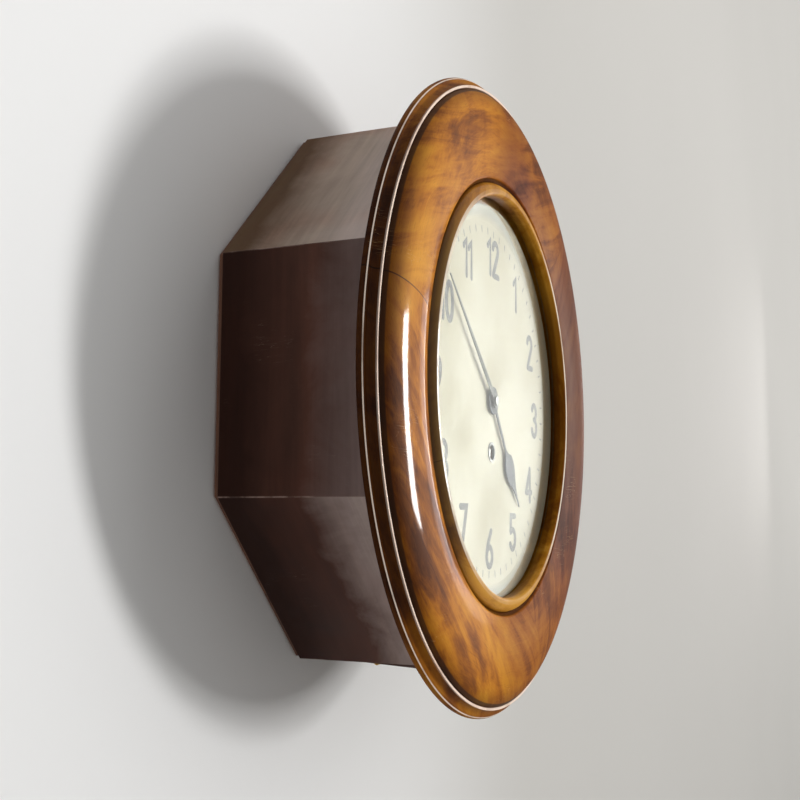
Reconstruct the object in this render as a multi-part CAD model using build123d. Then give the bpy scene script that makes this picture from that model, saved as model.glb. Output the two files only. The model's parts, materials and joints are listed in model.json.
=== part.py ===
from build123d import *
import os
from math import atan2, cos, degrees, hypot, pi, radians, sin, sqrt, tan

# Octagonal wall clock with a turned wooden ring for a door and a spring-driven pendulum movement.
# Millimetres. X is right as seen from the front, -Y is the front, +Z is up. The origin is on the
# wall plane, on the axis of the case. "Depth" is the distance from the wall towards the front.

# ---------------------------------------------------------------- case
case_across = 329.8        # across the flats of the octagon
panel_wall = 12.0          # thickness of each side panel
case_front = 101.8         # depth of the front edges of the panels
board_lip = 3.0            # how far the back board stands out behind the panels
board_inset = 1.5          # how far its lip sits inside the outside faces
board_tongue = 8.0         # thickness of the part let in between the panels
dial_board_thick = 8.0     # wooden board behind the dial
motion_room = 29.0         # radius of its hole round the motion work
key_room = 3.5             # round the winding square
peg_room = 1.2             # round the door's peg
foot_play = 0.2            # round the feet of the dial
fit_gap = 0.15             # glue line between wooden pieces that slide together
sides = 8                  # of the case
small_sides = 12           # flats that stand for the round of small pieces and drillings
block_leg = 14.0           # glue blocks in the corners
block_gap = 0.2            # of glue, along the corner
block_short = 2.0          # how far the blocks beside the trapdoor stop short of it
block_back = 16.0
block_front_gap = 3.8      # between the blocks and the dial board

# ---------------------------------------------------------------- trapdoor in the bottom panel
trap_back = 46.0           # depth of the joint between the fixed panel and the trapdoor
trap_front_gap = 2.2       # between the trapdoor's front edge and the case front
trap_gap = 0.5             # round the trapdoor
trap_ajar = 3.0            # degrees that it hangs open

# ---------------------------------------------------------------- door: ring, bezel and glass
door_gap = 0.3             # between the case front and the back of the ring
rim_radius = 202.2         # widest part of the ring
rim_round = 3.0            # radius of its half-round edge
rim_step = (5.5, 4.8)      # sharp edge above the half-round: in from the rim, height above it
rim_cove = 0.9             # hollow of the cove between the half-round and the sharp edge
torus_bulge = 1.08         # of the long inner slope, beyond a straight line
fillet_slope = 0.5         # how far the groove's side leans
bezel_shade = 0.3          # step from the ring down to the edge of the bezel
rim_flat = 1.6             # width of the fillet behind the torus
rim_quirk = 1.1            # depth of the groove between fillet and torus
torus_crest = (34.2, 18.7) # top of the torus: in from the rim, height above the back of the ring
torus_edge = (2.7, 14.4)   # its inner sharp edge: out from the bezel, height
bezel_seat = 11.4          # height of its outer edge above the back of the ring
bezel_wide = 8.8           # from the clear opening to the edge let into the ring
bezel_crest = (1.6, 17.2)  # top of the bead: out from the clear opening, height
sight_inset = 24.3         # from the inside of the panels in to the clear opening
bead_round = 0.3           # bulge of the bead's inner slope
bezel_lip = 15.4           # height at which the bead meets the sight edge
glass_rebate = 5.3         # how far the glass reaches behind the bezel
glass_thick = 2.0
glass_front = 8.2          # height of the glass's front face above the back of the ring
glass_play = 0.3
putty_leg = 2.4

# ---------------------------------------------------------------- hinges
knuckle_radius = 2.6
hinge_pin_radius = 1.2
hinge_play = 0.05
leaf_thick = 1.2
leaf_width = 15.0
hinge_length = 26.0
hinge_spread = 44.0        # door hinges above and below the middle
knuckle_gap = 0.3
pin_spare = 1.0            # how much longer the pins are than their hinges
trap_hinge_length = 20.0
trap_hinge_spread = 38.0
trap_knuckle_radius = 2.0
trap_pin_radius = 0.9
trap_leaf_width = 11.0
leaf_screw_share = 0.65    # how far across a leaf its screws stand
screw_head_radius = 2.4
screw_shank_radius = 1.1
screw_length = 8.0
screw_sides = 4            # of the shanks and their holes
head_sides = 6             # of the screw heads
screw_head_height = 0.8

# ---------------------------------------------------------------- catches
peg_radius = 2.0
peg_reach = 14.0           # how far the door's peg stands out of the ring's back
peg_tail = 4.5             # length let into the ring
catch_inset = 8.9          # from the inside of the left panel to the door's peg
catch_gap = 0.5
catch_leaf = 0.5
catch_width = 7.0
clip_foot = 4.4            # length of its feet
clip_spare = 1.0           # between the end of the peg and the web of the clip

# ---------------------------------------------------------------- dial and hands
dial_drop = 2.4            # the arbor sits this far below the axis of the case
dial_turn = 3.0            # degrees by which the dial is turned in its seat
dial_thick = 1.2
dial_rim_gap = 1.6         # between its raised edge and the clear opening
dial_slope = 8.8           # width of the raised edge
dial_rim_height = 3.6
dial_edge = 0.8            # thickness of the sheet at the turned-up edge
dial_hole = 5.2
winding_hole = 5.9
collet_wall = 0.8
collet_height = 0.5
collet_lip = 0.7           # how far it laps over the dial
dial_foot_radius = 1.5
dial_foot_ring = 100.0
foot_reach = 4.0           # how far the feet stand out behind the dial board
foot_pin_radius = 0.5
foot_pin_length = 9.0
hour_hand_depth = 1.3      # back of the hour hand above the dial's face
hour_hand_thick = 0.6
minute_hand_depth = 2.7
minute_hand_thick = 0.6
minute_angle = 309.5       # degrees clockwise from upright at rest
hour_angle = 142.0
minute_reach = 106.0
minute_hand_wide = (2.3, 0.45)     # half widths at the boss and at the tip
minute_boss = 5.0
hour_reach = 86.0
hour_hand_form = ((1.6, 0), (1.3, 0.46), (5.6, 0.56), (6.3, 0.62), (5.2, 0.71), (1.4, 0.83), (0.4, 1.0))
boss_radius = 9.0
nut_radius = 3.2
nut_height = 1.1

# ---------------------------------------------------------------- movement
plate_wide = 76.0
plate_top = 58.0           # above the centre arbor
plate_bottom = 66.0        # below it
plate_thick = 1.8
plate_space = 34.0         # between the plates
lug_wide, lug_high = 16.0, 10.0
lug_reach = 5.0            # of the lugs' screws beyond the plate
lug_inset = 20.0           # of the lugs from its top and bottom
minute_stud_radius = 1.0   # on which the minute wheel turns
minute_stud_long = 4.0
pillar_radius = 4.0
pillar_inset = 6.5
nut_across = 7.0
nut_thick = 2.6
thread_spare = 0.6         # how far the pillars stand out of their nuts
pivot_play = 0.08
force_fit = 0.02           # between pieces pressed together
end_play = 0.3
pivot_inset = 0.2          # pivot ends lie this far inside the plates' outer faces
pinion_spare = 1.0         # how much longer a pinion is than its wheel, at each end
great_wheel_thick = 2.0
great_wheel_room = 3.0     # behind the great wheel
barrel_room = 1.2          # between the barrel and the relay wheel
centre_room = 1.5          # between the relay wheel and the centre wheel
third_wheel_lift = 12.0    # of the third wheel above the back plate
escape_wheel_lift = 4.0
motion_gap = 0.7           # between the front plate and the motion work
motion_step = 0.4          # between its two layers
rivet_bite = 0.2           # how far riveted pieces go into each other
arbor_radius = 1.6
pivot_radius = 0.9
fine_arbor_radius = 0.95   # of the fast arbors, whose pinions are small
fine_pivot_radius = 0.6
wheel_thick = 1.4
barrel_drop = 33.4         # winding square below the centre arbor

centre_teeth, third_leaves, train_module = 72, 6, 0.6
third_teeth, escape_leaves, third_module = 66, 6, 0.55
escape_teeth, escape_radius = 36, 13.5
escape_tooth = 2.2         # height of its teeth
escape_lean = (0.42, 0.50) # where a tooth's point and its steep foot stand, as shares of the pitch
wheel_form = (0.85, 1.15, 0.62, 0.16)      # addendum, dedendum, widths at root and tip (of the pitch)
pinion_form = (0.75, 1.25, 0.52, 0.14)
rim_wall = 1.8             # of a wheel, inside its teeth
hub_wall = 2.6             # of a wheel, round its bore
arm_count, arm_wide = 4, 2.0
barrel_teeth, relay_leaves, barrel_module = 72, 12, 0.8
relay_teeth, centre_leaves, relay_module = 60, 10, 0.7
cannon_teeth, minute_teeth, cannon_module = 12, 36, 0.5
minute_leaves, hour_teeth = 10, 40
third_direction = 50.0     # degrees above +X
minute_direction = 0.0

barrel_radius = 24.0
barrel_wall = 1.2
barrel_high = 22.0
barrel_core = 8.0
mainspring_pack = 8.9      # thickness of the unwound turns
spring_gap = 0.4           # at each side of the spring
cover_thick = 1.2
cover_inset = 0.2
core_gap = 0.2             # at each end of the arbor's core
square_shoulder = 0.4      # how far the round of the arbor stands out of the front plate
rear_spare = 0.4           # how far it stands out behind the ratchet wheel
winding_radius = 3.2
square_side = 4.6
square_long = 7.5
ratchet_teeth = 12
ratchet_radius = 11.0
ratchet_thick = 1.8
ratchet_bite = 2.2
ratchet_gap = 0.4          # between the ratchet wheel and the back plate
ratchet_rake = 1.0         # degrees by which its steep faces lean
click_pivot = (17.0, 14.0) # its stud, from the winding arbor
click_pivot_radius = 1.6
click_eye = 3.0            # radius of the click round its stud
click_wide = 2.4           # half its width there
click_tail = 5.0           # how far it reaches past its stud
click_point = 0.3          # half the width of its point
click_heel = (2.6, -1.5)   # where the point widens
click_clearance = 0.95     # between its point and the bottom of the notch
click_spring_foot = (24.0, -10.0)  # from the winding arbor
click_spring_end = (18.2, 5.5)
click_spring_wide = 1.8
click_spring_thick = 0.5
click_foot_size = (4.0, 5.0)
stud_shoulder = 1.0        # of the click's stud, beyond its pivot
stud_head = 0.8
click_angle = 6.5          # where the click's point lies in its notch, in degrees from the steep face

centre_front_radius = 1.2
cannon_radius = 2.1
hour_pipe_radius = 3.2
collar_wall = 0.4          # of the hour hand's collar, beyond the cannon

# ---------------------------------------------------------------- pendulum
pallet_distance = 19.1     # from escape arbor to pallet arbor
pallet_clearance = 0.5
pallet_span = 48.0         # degrees each side, seen from the escape arbor
pallet_sweep = 9.0         # degrees that each pallet covers
pallet_thick = (2.7, 1.7)  # of its two ends
anchor_root = (2.2, -1.6)  # where the arms leave the arbor, above and below it
anchor_eye = 3.4
anchor_spare = 0.4         # by which the anchor is thicker than the wheel, each side
shaft_step = 0.4           # by which an arbor is thicker between the plates
pendulum_length = 147.0
bob_radius = 22.0
bob_thick = 12.0
bob_edge = 1.6
bob_shoulder = (14.4, 4.1) # where the slope of its faces changes: radius, height
bob_flat = 4.4             # radius at the middle of its faces
bob_sides = 36
rod_radius = 1.3
pendulum_gap = 10.0        # from the back plate to the pendulum's plane
spring_wide = 4.4
spring_thick = 0.4
spring_long = 9.0
head_radius = 1.0
cock_gap = 0.4             # each side of the suspension strip
cock_arm = 1.7
cock_base = (12.0, 6.0)    # of its foot: width and height
cock_rise = 6.6            # of the middle of the foot above the head pin
cock_cheek = (5.0, 6.6)    # of each arm
cheek_rise = 0.8
block_wide, block_high = 3.0, 4.0  # lower block of the suspension
block_bite = 0.6           # thicker than the strip, each side
block_over = 1.0           # from the end of the strip to the middle of the block
rod_spare = 5.0            # of the rod below the rating nut
crutch_drop = 36.0
crutch_thick = 1.4
crutch_eye = 3.0
crutch_arm = 2.4           # width
crutch_bridge = 3.0        # height of the piece that carries the fork
fork_gap = 0.3             # between the fork and the pendulum rod
fork_wide, fork_high = 1.4, 5.0
fork_reach = 2.0           # past the middle of the rod
rating_nut_radius = 5.0
rating_nut_height = 3.0

# ---------------------------------------------------------------- hanging plate
hanger_wide, hanger_high, hanger_thick = 64.0, 24.0, 2.0
hanger_height = 128.0      # above the axis
hanger_screw_inset = 7.0
nail_radius = 4.0
nail_room = 7.0            # radius of the pocket behind the plate

# ---------------------------------------------------------------- derived places
case_apothem = case_across / 2
half_side = case_apothem * tan(pi / sides)
inner_apothem = case_apothem - panel_wall
catch_radius = inner_apothem - catch_inset
sight_radius = inner_apothem - sight_inset
glass_radius = sight_radius + glass_rebate
bezel_outer = sight_radius + bezel_wide
dial_rim = sight_radius - dial_rim_gap
dial_flat = dial_rim - dial_slope
ring_back = case_front + door_gap
dial_face = case_front + dial_thick
board_back = case_front - dial_board_thick
block_front = board_back - block_front_gap
plate_front = board_back                      # the front plate is screwed to the dial board
plate_front_inner = plate_front - plate_thick
plate_rear_inner = plate_front_inner - plate_space
plate_rear = plate_rear_inner - plate_thick
pendulum_depth = plate_rear - pendulum_gap
crutch_depth = plate_rear - 1.0 - crutch_thick

CENTRE = (0.0, -dial_drop)
BARREL = (0.0, -dial_drop - barrel_drop)


def meet(a, reach_a, b, reach_b, side):
    """The point at given distances from a and b, on one side of the line between them."""
    dx, dz = b[0] - a[0], b[1] - a[1]
    gap = hypot(dx, dz)
    along = (gap**2 + reach_a**2 - reach_b**2) / (2 * gap)
    off = side * sqrt(reach_a**2 - along**2)
    return (a[0] + (along * dx - off * dz) / gap, a[1] + (along * dz + off * dx) / gap)


def polar(middle, reach, angle):
    return (middle[0] + reach * cos(radians(angle)), middle[1] + reach * sin(radians(angle)))


def bearing(a, b):
    return degrees(atan2(b[1] - a[1], b[0] - a[0]))


RELAY = meet(CENTRE, (relay_teeth + centre_leaves) * relay_module / 2,
             BARREL, (barrel_teeth + relay_leaves) * barrel_module / 2, -1)
THIRD = polar(CENTRE, (centre_teeth + third_leaves) * train_module / 2, third_direction)
ESCAPE_REACH = (third_teeth + escape_leaves) * third_module / 2
ESCAPE = (0.0, THIRD[1] + sqrt(ESCAPE_REACH**2 - THIRD[0]**2))
PALLET = (0.0, ESCAPE[1] + pallet_distance)
MINUTE = polar(CENTRE, (cannon_teeth + minute_teeth) * cannon_module / 2, minute_direction)
minute_module = (cannon_teeth + minute_teeth) * cannon_module / (minute_leaves + hour_teeth)

# layers of the movement, as depths
great_wheel_back = plate_rear_inner + great_wheel_room
barrel_front = great_wheel_back + barrel_high
relay_wheel_back = barrel_front + barrel_room
centre_wheel_back = relay_wheel_back + wheel_thick + centre_room
third_wheel_back = plate_rear_inner + third_wheel_lift
escape_wheel_back = plate_rear_inner + escape_wheel_lift
cannon_back = plate_front + motion_gap
minute_pinion_back = cannon_back + wheel_thick + motion_step


# ---------------------------------------------------------------- helpers
def wall_plane(depth, x=0.0, z=0.0):
    """A plane parallel to the wall, drawn along +X and +Z."""
    return Plane((x, -depth, z), (1, 0, 0), (0, -1, 0))


def slab(sketch, back, front, x=0.0, z=0.0):
    return extrude(wall_plane(back, x, z) * sketch, front - back, dir=(0, -1, 0))


def rod(radius, back, front, at=(0.0, 0.0)):
    return slab(Circle(radius), back, front, *at)


def flatted(radius, back, front, at=(0.0, 0.0)):
    """A small round piece, drawn with flats inside its circle."""
    return slab(RegularPolygon(radius, small_sides), back, front, *at)


def drilling(radius, back, front, at=(0.0, 0.0)):
    """A small round hole, drawn with flats outside its circle."""
    return slab(RegularPolygon(radius, small_sides, major_radius=False), back, front, *at)


def outline(points):
    return make_face(Polyline(*points, close=True))


def bow(start, end, rise, parts):
    """Points along a shallow arc that bulges to the left of the line from start to end."""
    run, fall = end[0] - start[0], end[1] - start[1]
    length = hypot(run, fall)
    points = []
    for step in range(parts + 1):
        share = step / parts
        lift = 4 * rise * share * (1 - share) / length
        points.append((start[0] + share * run - lift * fall, start[1] + share * fall + lift * run))
    return points


def quarter(middle, wide, high, start, parts):
    """Points along a quarter of an ellipse, from an angle on to ninety degrees more."""
    angles = [radians(start + 90 * step / parts) for step in range(parts + 1)]
    return [(middle[0] + wide * cos(a), middle[1] + high * sin(a)) for a in angles]


def turned(face, at=(0.0, 0.0)):
    """Turns a section drawn as (radius, depth) about the axis through a point."""
    section = Plane((0, 0, 0), (1, 0, 0), (0, 0, -1))
    return Pos(at[0], 0, at[1]) * revolve(section * face, Axis.Y)


def faceted(loops):
    """A closed body of flat faces between loops of as many points, the first and last closed."""
    faces = [Face(Wire.make_polygon(loops[0])), Face(Wire.make_polygon(loops[-1]))]
    for low, high in zip(loops, loops[1:]):
        for here in range(len(low)):
            after = (here + 1) % len(low)
            faces.append(Face(Wire.make_polygon([low[here], low[after], high[after], high[here]])))
    return Part() + Solid(Shell(faces))


def spindle(steps, at):
    """A turned arbor: steps of (back, front, radius) that follow each other."""
    points = [(0.0, steps[0][0])]
    for back, front, radius in steps:
        points += [(radius, back), (radius, front)]
    points.append((0.0, steps[-1][1]))
    return turned(outline(points), at)


def toothed(teeth, module, phase, addendum, dedendum, root_share, tip_share):
    """A toothed disc with straight flanks. Shares are of the tooth pitch."""
    pitch = 360 / teeth
    root = teeth * module / 2 - dedendum * module
    tip = teeth * module / 2 + addendum * module
    points = []
    for tooth in range(teeth):
        middle = phase + tooth * pitch
        points += [polar((0, 0), root, middle - root_share * pitch / 2),
                   polar((0, 0), tip, middle - tip_share * pitch / 2),
                   polar((0, 0), tip, middle + tip_share * pitch / 2),
                   polar((0, 0), root, middle + root_share * pitch / 2)]
    return outline(points)


def wheel(teeth, module, phase):
    return toothed(teeth, module, phase, *wheel_form)


def pinion(teeth, module, phase):
    return toothed(teeth, module, phase, *pinion_form)


def mesh_phase(here, teeth, phase, there, other_teeth):
    """Phase of the wheel at there whose gaps take the teeth of the wheel at here."""
    line = bearing(here, there)
    share = (line - phase) * teeth / 360
    return line + 180 - (0.5 - share) * 360 / other_teeth


def crossings(radius_out, radius_in, spokes, spoke_width):
    """The windows between the arms of a wheel."""
    ring = RegularPolygon(radius_out, 4 * spokes) - RegularPolygon(radius_in, 2 * spokes, major_radius=False)
    for spoke in range(spokes):
        arm = Pos(radius_out / 2, 0) * Rectangle(radius_out + spoke_width, spoke_width)
        ring -= Rot(0, 0, 360 * spoke / spokes) * arm
    return ring


def octagon(apothem):
    return RegularPolygon(apothem, sides, major_radius=False, rotation=180 / sides)


def save(shape, name):
    export_step(shape, "parts/" + name + ".step")


def save_group(solids, name):
    save(Compound(children=solids), name)


# ---------------------------------------------------------------- case
def side_panel(angle, back, front):
    """One mitred panel whose outside faces away from the axis at an angle above +X."""
    inner_half = inner_apothem * tan(pi / sides)
    points = [(inner_apothem, -inner_half), (case_apothem, -half_side),
              (case_apothem, half_side), (inner_apothem, inner_half)]
    return slab(Rot(0, 0, angle) * outline(points), back, front)


def bottom_panels():
    """The bottom panel in two parts: fixed behind, and the trapdoor in front with play round it."""
    fixed = side_panel(-90, board_lip, trap_back - trap_gap)
    play = trap_gap / cos(pi / sides)
    inner_half = inner_apothem * tan(pi / sides) - play
    outer_half = half_side - play
    points = [(-outer_half, -case_apothem), (outer_half, -case_apothem),
              (inner_half, -inner_apothem), (-inner_half, -inner_apothem)]
    return fixed, slab(outline(points), trap_back, case_front - trap_front_gap)


def back_board():
    lip = slab(octagon(case_apothem - board_inset), 0, board_lip)
    tongue = slab(octagon(inner_apothem - fit_gap), board_lip, board_lip + board_tongue)
    board = lip + tongue
    board -= slab(Rectangle(hanger_wide + fit_gap, hanger_high + fit_gap), 0, hanger_thick, 0, hanger_height)
    return board - drilling(nail_room, 0, board_lip + board_tongue, (0, hanger_height))


def corner_blocks():
    """Triangular glue blocks in the corners, all but the two beside the trapdoor full length."""
    blocks = []
    for corner in range(sides):
        angle = 360 * (corner + 0.5) / sides
        reach = inner_apothem / cos(pi / sides)
        foot = radians(90 - 180 / sides)
        points = [(reach - block_gap, 0), (reach - block_leg * cos(foot), block_leg * sin(foot)),
                  (reach - block_leg * cos(foot), -block_leg * sin(foot))]
        beside_trap = abs(angle - 270) < 360 / sides
        front = trap_back - block_short if beside_trap else block_front
        blocks.append(slab(Rot(0, 0, angle) * outline(points), block_back, front))
    return blocks


def dial_board():
    """Lies inside the panels; its bottom edge is planed back from the trapdoor."""
    board = slab(octagon(inner_apothem - fit_gap), board_back, case_front)
    below = Rectangle(case_across, case_across, align=(Align.CENTER, Align.MAX))
    board -= slab(below, board_back, case_front, 0, trap_gap - inner_apothem)
    board -= rod(motion_room, board_back, case_front, CENTRE)
    board -= drilling(winding_radius + key_room, board_back, case_front, BARREL)
    board -= drilling(peg_radius + peg_room, board_back, case_front, (-catch_radius, 0))
    for foot in dial_feet_places():
        board -= drilling(dial_foot_radius + foot_play, board_back, case_front, foot)
    for x, z in lug_places():
        board -= drilling(screw_shank_radius + fit_gap, board_back, board_back + screw_length, (x, z))
    return board


# ---------------------------------------------------------------- door
def door_ring():
    """Turned ring: half-round rim, cove, fillet, quirk, then the broad torus down to the bezel."""
    back = ring_back
    top = back + 2 * rim_round
    round_middle = (rim_radius - rim_round, back + rim_round)
    step = (rim_radius - rim_step[0], top + rim_step[1])
    fillet_inner = (step[0] - rim_flat, step[1])
    foot = (fillet_inner[0] - fillet_slope, step[1] - rim_quirk)
    crest = (rim_radius - torus_crest[0], back + torus_crest[1])
    edge = (bezel_outer + torus_edge[0], back + torus_edge[1])
    seat = (bezel_outer, back + bezel_seat)
    points = quarter(round_middle, rim_round, rim_round, -90, 2)
    points += quarter(round_middle, rim_round, rim_round, 0, 2)[1:]
    points += bow((round_middle[0], top), step, rim_cove, 2)[1:]
    points.append(fillet_inner)
    points += quarter((crest[0], foot[1]), foot[0] - crest[0], crest[1] - foot[1], 0, 3)
    points += bow(crest, edge, -torus_bulge, 3)[1:-1]
    points += [edge, seat, (bezel_outer, back)]
    ring = turned(outline(points))
    return ring - drilling(peg_radius, back, back + peg_tail + catch_gap, (-catch_radius, 0))


def door_bezel():
    back = ring_back
    outer = bezel_outer - fit_gap / 3
    seat = (outer, back + bezel_seat - bezel_shade)
    crest = (sight_radius + bezel_crest[0], back + bezel_crest[1])
    lip = (sight_radius, back + bezel_lip)
    rebate = glass_radius + glass_play
    points = [(rebate, back), (outer, back)]
    points += quarter((crest[0], seat[1]), seat[0] - crest[0], crest[1] - seat[1], 0, 3)
    points += bow(crest, lip, -bead_round, 2)[1:]
    points += [(sight_radius, back + glass_front), (rebate, back + glass_front)]
    return turned(outline(points))


def glass():
    front = ring_back + glass_front
    return rod(glass_radius, front - glass_thick, front)


def glazing_bead():
    """Triangular fillet of putty that holds the glass against the bezel."""
    front = ring_back + glass_front - glass_thick
    outer = glass_radius + glass_play
    return turned(outline([(outer, front), (outer - putty_leg, front), (outer, front - putty_leg)]))


# ---------------------------------------------------------------- hinges
def knuckles(radius, hole, length, parts, axis_point, direction):
    """Alternate barrels of a hinge about a line; returns the two interleaved sets."""
    sets = ([], [])
    part = length / parts
    plane = Plane(axis_point, z_dir=direction)
    for index in range(parts):
        start = -length / 2 + index * part + (knuckle_gap / 2 if index else 0)
        end = -length / 2 + (index + 1) * part - (knuckle_gap / 2 if index < parts - 1 else 0)
        tube = RegularPolygon(radius, small_sides) - RegularPolygon(hole, small_sides, major_radius=False)
        sets[index % 2].append(extrude(plane.offset(start) * tube, end - start))
    return sets


def door_hinge_axis():
    return (case_apothem + knuckle_radius + knuckle_gap, ring_back - knuckle_radius - knuckle_gap)


def hinge_leaf(barrels, plate, part, along, length, keep):
    """Joins a flat leaf to its barrels, with gaps where the other leaf's barrels turn."""
    leaf = plate
    pitch = length / part
    for index in range(part):
        if index % 2 != keep:
            middle = -length / 2 + (index + 0.5) * pitch
            leaf -= along(middle, pitch + knuckle_gap)
    for barrel in barrels:
        leaf += barrel
    return leaf


def door_hinges():
    axis_x, axis_depth = door_hinge_axis()
    case_leaves, door_leaves, pins = [], [], []
    clear = knuckle_radius + knuckle_gap
    for z in (-hinge_spread, hinge_spread):
        hole = hinge_pin_radius + hinge_play
        sets = knuckles(knuckle_radius, hole, hinge_length, 3, (axis_x, -axis_depth, z), (0, 0, 1))
        wall_side = Pos(case_apothem + leaf_thick / 2, -(axis_depth - leaf_width / 2), z) * Box(
            leaf_thick, leaf_width, hinge_length)
        ring_side = Pos(axis_x + leaf_width / 2, -(ring_back - leaf_thick / 2), z) * Box(
            leaf_width, leaf_thick, hinge_length)

        def around(middle, length, z=z):
            return Pos(axis_x, -axis_depth, z + middle) * Cylinder(clear, length)

        case_leaves.append(hinge_leaf(sets[0], wall_side, 3, around, hinge_length, 0))
        door_leaves.append(hinge_leaf(sets[1], ring_side, 3, around, hinge_length, 1))
        pins.append(Pos(axis_x, -axis_depth, z) * Cylinder(hinge_pin_radius, hinge_length + pin_spare))
    return case_leaves, door_leaves, pins


def dial_feet_places():
    return [polar(CENTRE, dial_foot_ring, angle - dial_turn) for angle in (90, 210, 330)]


def screw(at, inward):
    """A raised-head screw: its head on a surface at a point, its shank going inward."""
    plane = Plane(at, z_dir=inward)
    shape = RegularPolygon(screw_head_radius, head_sides)
    head = extrude(plane.offset(-screw_head_height) * shape, screw_head_height)
    return head + extrude(plane * RegularPolygon(screw_shank_radius, screw_sides), screw_length)


def screw_hole(at, inward):
    shape = RegularPolygon(screw_shank_radius + fit_gap, screw_sides)
    return extrude(Plane(at, z_dir=inward) * shape, screw_length + fit_gap)


def drilled(shape, places):
    for at, inward in places:
        shape -= screw_hole(at, inward)
    return shape


def door_hinge_screw_places():
    """Screws of the case leaves and of the door leaves, as (point, direction)."""
    axis_x, axis_depth = door_hinge_axis()
    case_side, door_side = [], []
    screw_reach = leaf_screw_share * leaf_width
    for z in (-hinge_spread, hinge_spread):
        for shift in (-hinge_length / 4, hinge_length / 4):
            case_place = (case_apothem + leaf_thick, screw_reach - axis_depth, z + shift)
            door_place = (axis_x + screw_reach, leaf_thick - ring_back, z + shift)
            case_side.append((case_place, (-1, 0, 0)))
            door_side.append((door_place, (0, -1, 0)))
    return case_side, door_side


def trap_axis():
    return (trap_back - trap_gap / 2, -case_apothem - trap_knuckle_radius - 0.1)


def trap_hinges():
    """Two small hinges under the bottom: leaves of the fixed panel, leaves of the trapdoor, pins."""
    axis_depth, axis_z = trap_axis()
    hole = trap_pin_radius + hinge_play
    clear = trap_knuckle_radius + knuckle_gap
    fixed_leaves, trap_leaves, pins = [], [], []
    for x in (-trap_hinge_spread, trap_hinge_spread):
        sets = knuckles(trap_knuckle_radius, hole, trap_hinge_length, 3, (x, -axis_depth, axis_z), (1, 0, 0))
        size = (trap_hinge_length, trap_leaf_width, leaf_thick)
        plate_z = -case_apothem - leaf_thick / 2
        shift = trap_leaf_width / 2 + trap_gap / 2
        fixed_plate = Pos(x, -(axis_depth - shift), plate_z) * Box(*size)
        trap_plate = Pos(x, -(axis_depth + shift), plate_z) * Box(*size)

        def around(middle, length, x=x):
            return Pos(x + middle, -axis_depth, axis_z) * Rot(0, 90, 0) * Cylinder(clear, length)

        start = Plane((x - trap_hinge_length / 2, -axis_depth, axis_z), z_dir=(1, 0, 0))
        bore = extrude(start * RegularPolygon(hole, small_sides, major_radius=False), trap_hinge_length)
        fixed_leaves.append(hinge_leaf(sets[0], fixed_plate, 3, around, trap_hinge_length, 0) - bore)
        trap_leaves.append(hinge_leaf(sets[1], trap_plate, 3, around, trap_hinge_length, 1) - bore)
        pin = Rot(0, 90, 0) * Cylinder(trap_pin_radius, trap_hinge_length + pin_spare)
        pins.append(Pos(x, -axis_depth, axis_z) * pin)
    return fixed_leaves, trap_leaves, pins


def trap_screw_places():
    axis_depth, _ = trap_axis()
    fixed_side, trap_side = [], []
    for x in (-trap_hinge_spread, trap_hinge_spread):
        for shift in (-trap_hinge_length / 4, trap_hinge_length / 4):
            low = -case_apothem - leaf_thick
            reach = leaf_screw_share * trap_leaf_width
            fixed_side.append(((x + shift, reach - axis_depth, low), (0, 0, 1)))
            trap_side.append(((x + shift, -reach - axis_depth, low), (0, 0, 1)))
    return fixed_side, trap_side


def ajar(shape):
    """Swings a piece of the trapdoor from shut to where it hangs."""
    axis_depth, axis_z = trap_axis()
    return shape.rotate(Axis((0, -axis_depth, axis_z), (1, 0, 0)), trap_ajar)


# ---------------------------------------------------------------- catches
def door_peg():
    tip = flatted(peg_radius, ring_back - peg_reach, ring_back, (-catch_radius, 0))
    return tip + flatted(peg_radius - fit_gap, ring_back, ring_back + peg_tail, (-catch_radius, 0))


def spring_clip(width, leg, gap):
    """A U of flat spring: two legs along +Y from a web, drawn in the XY plane about x = 0."""
    outer = gap + catch_leaf
    web = Pos(0, leg, 0) * Box(2 * outer, catch_leaf, width, align=(Align.CENTER, Align.MIN, Align.CENTER))
    for side in (-1, 1):
        web += Pos(side * (gap + catch_leaf / 2), 0, 0) * Box(
            catch_leaf, leg + catch_leaf / 2, width, align=(Align.CENTER, Align.MIN, Align.CENTER))
        foot = Pos(side * (outer + (clip_foot - catch_leaf) / 2), 0, 0) * Box(
            clip_foot, catch_leaf, width, align=(Align.CENTER, Align.MIN, Align.CENTER))
        web += foot
    return web


def door_catch():
    """The clip on the back of the dial board that the door's peg pushes into."""
    leg = peg_reach - door_gap - dial_board_thick + clip_spare
    return Pos(-catch_radius, -board_back, 0) * spring_clip(catch_width, leg, peg_radius + catch_gap)


# ---------------------------------------------------------------- dial and hands
def dial():
    back = case_front
    rim_front = dial_face + dial_rim_height
    points = [(dial_hole, back), (dial_flat + dial_edge / 2, back), (dial_rim, rim_front - dial_edge),
              (dial_rim, rim_front), (dial_rim - dial_edge, rim_front), (dial_flat, dial_face),
              (dial_hole, dial_face)]
    plate = turned(outline(points), CENTRE)
    for foot in dial_feet_places():
        plate += flatted(dial_foot_radius, board_back - foot_reach, back + dial_thick / 2, foot)
        plate -= cross_pin(foot, foot_pin_radius + pivot_play, 4 * dial_foot_radius)
    return plate - rod(winding_hole, back, dial_face, BARREL)


def cross_pin(foot, radius, length):
    """A pin across a foot of the dial, behind the dial board."""
    along = Plane((foot[0] - length / 2, -(board_back - foot_reach / 2), foot[1]), z_dir=(1, 0, 0))
    return extrude(along * RegularPolygon(radius, screw_sides), length)


def dial_pins():
    return [cross_pin(foot, foot_pin_radius, foot_pin_length) for foot in dial_feet_places()]


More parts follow.
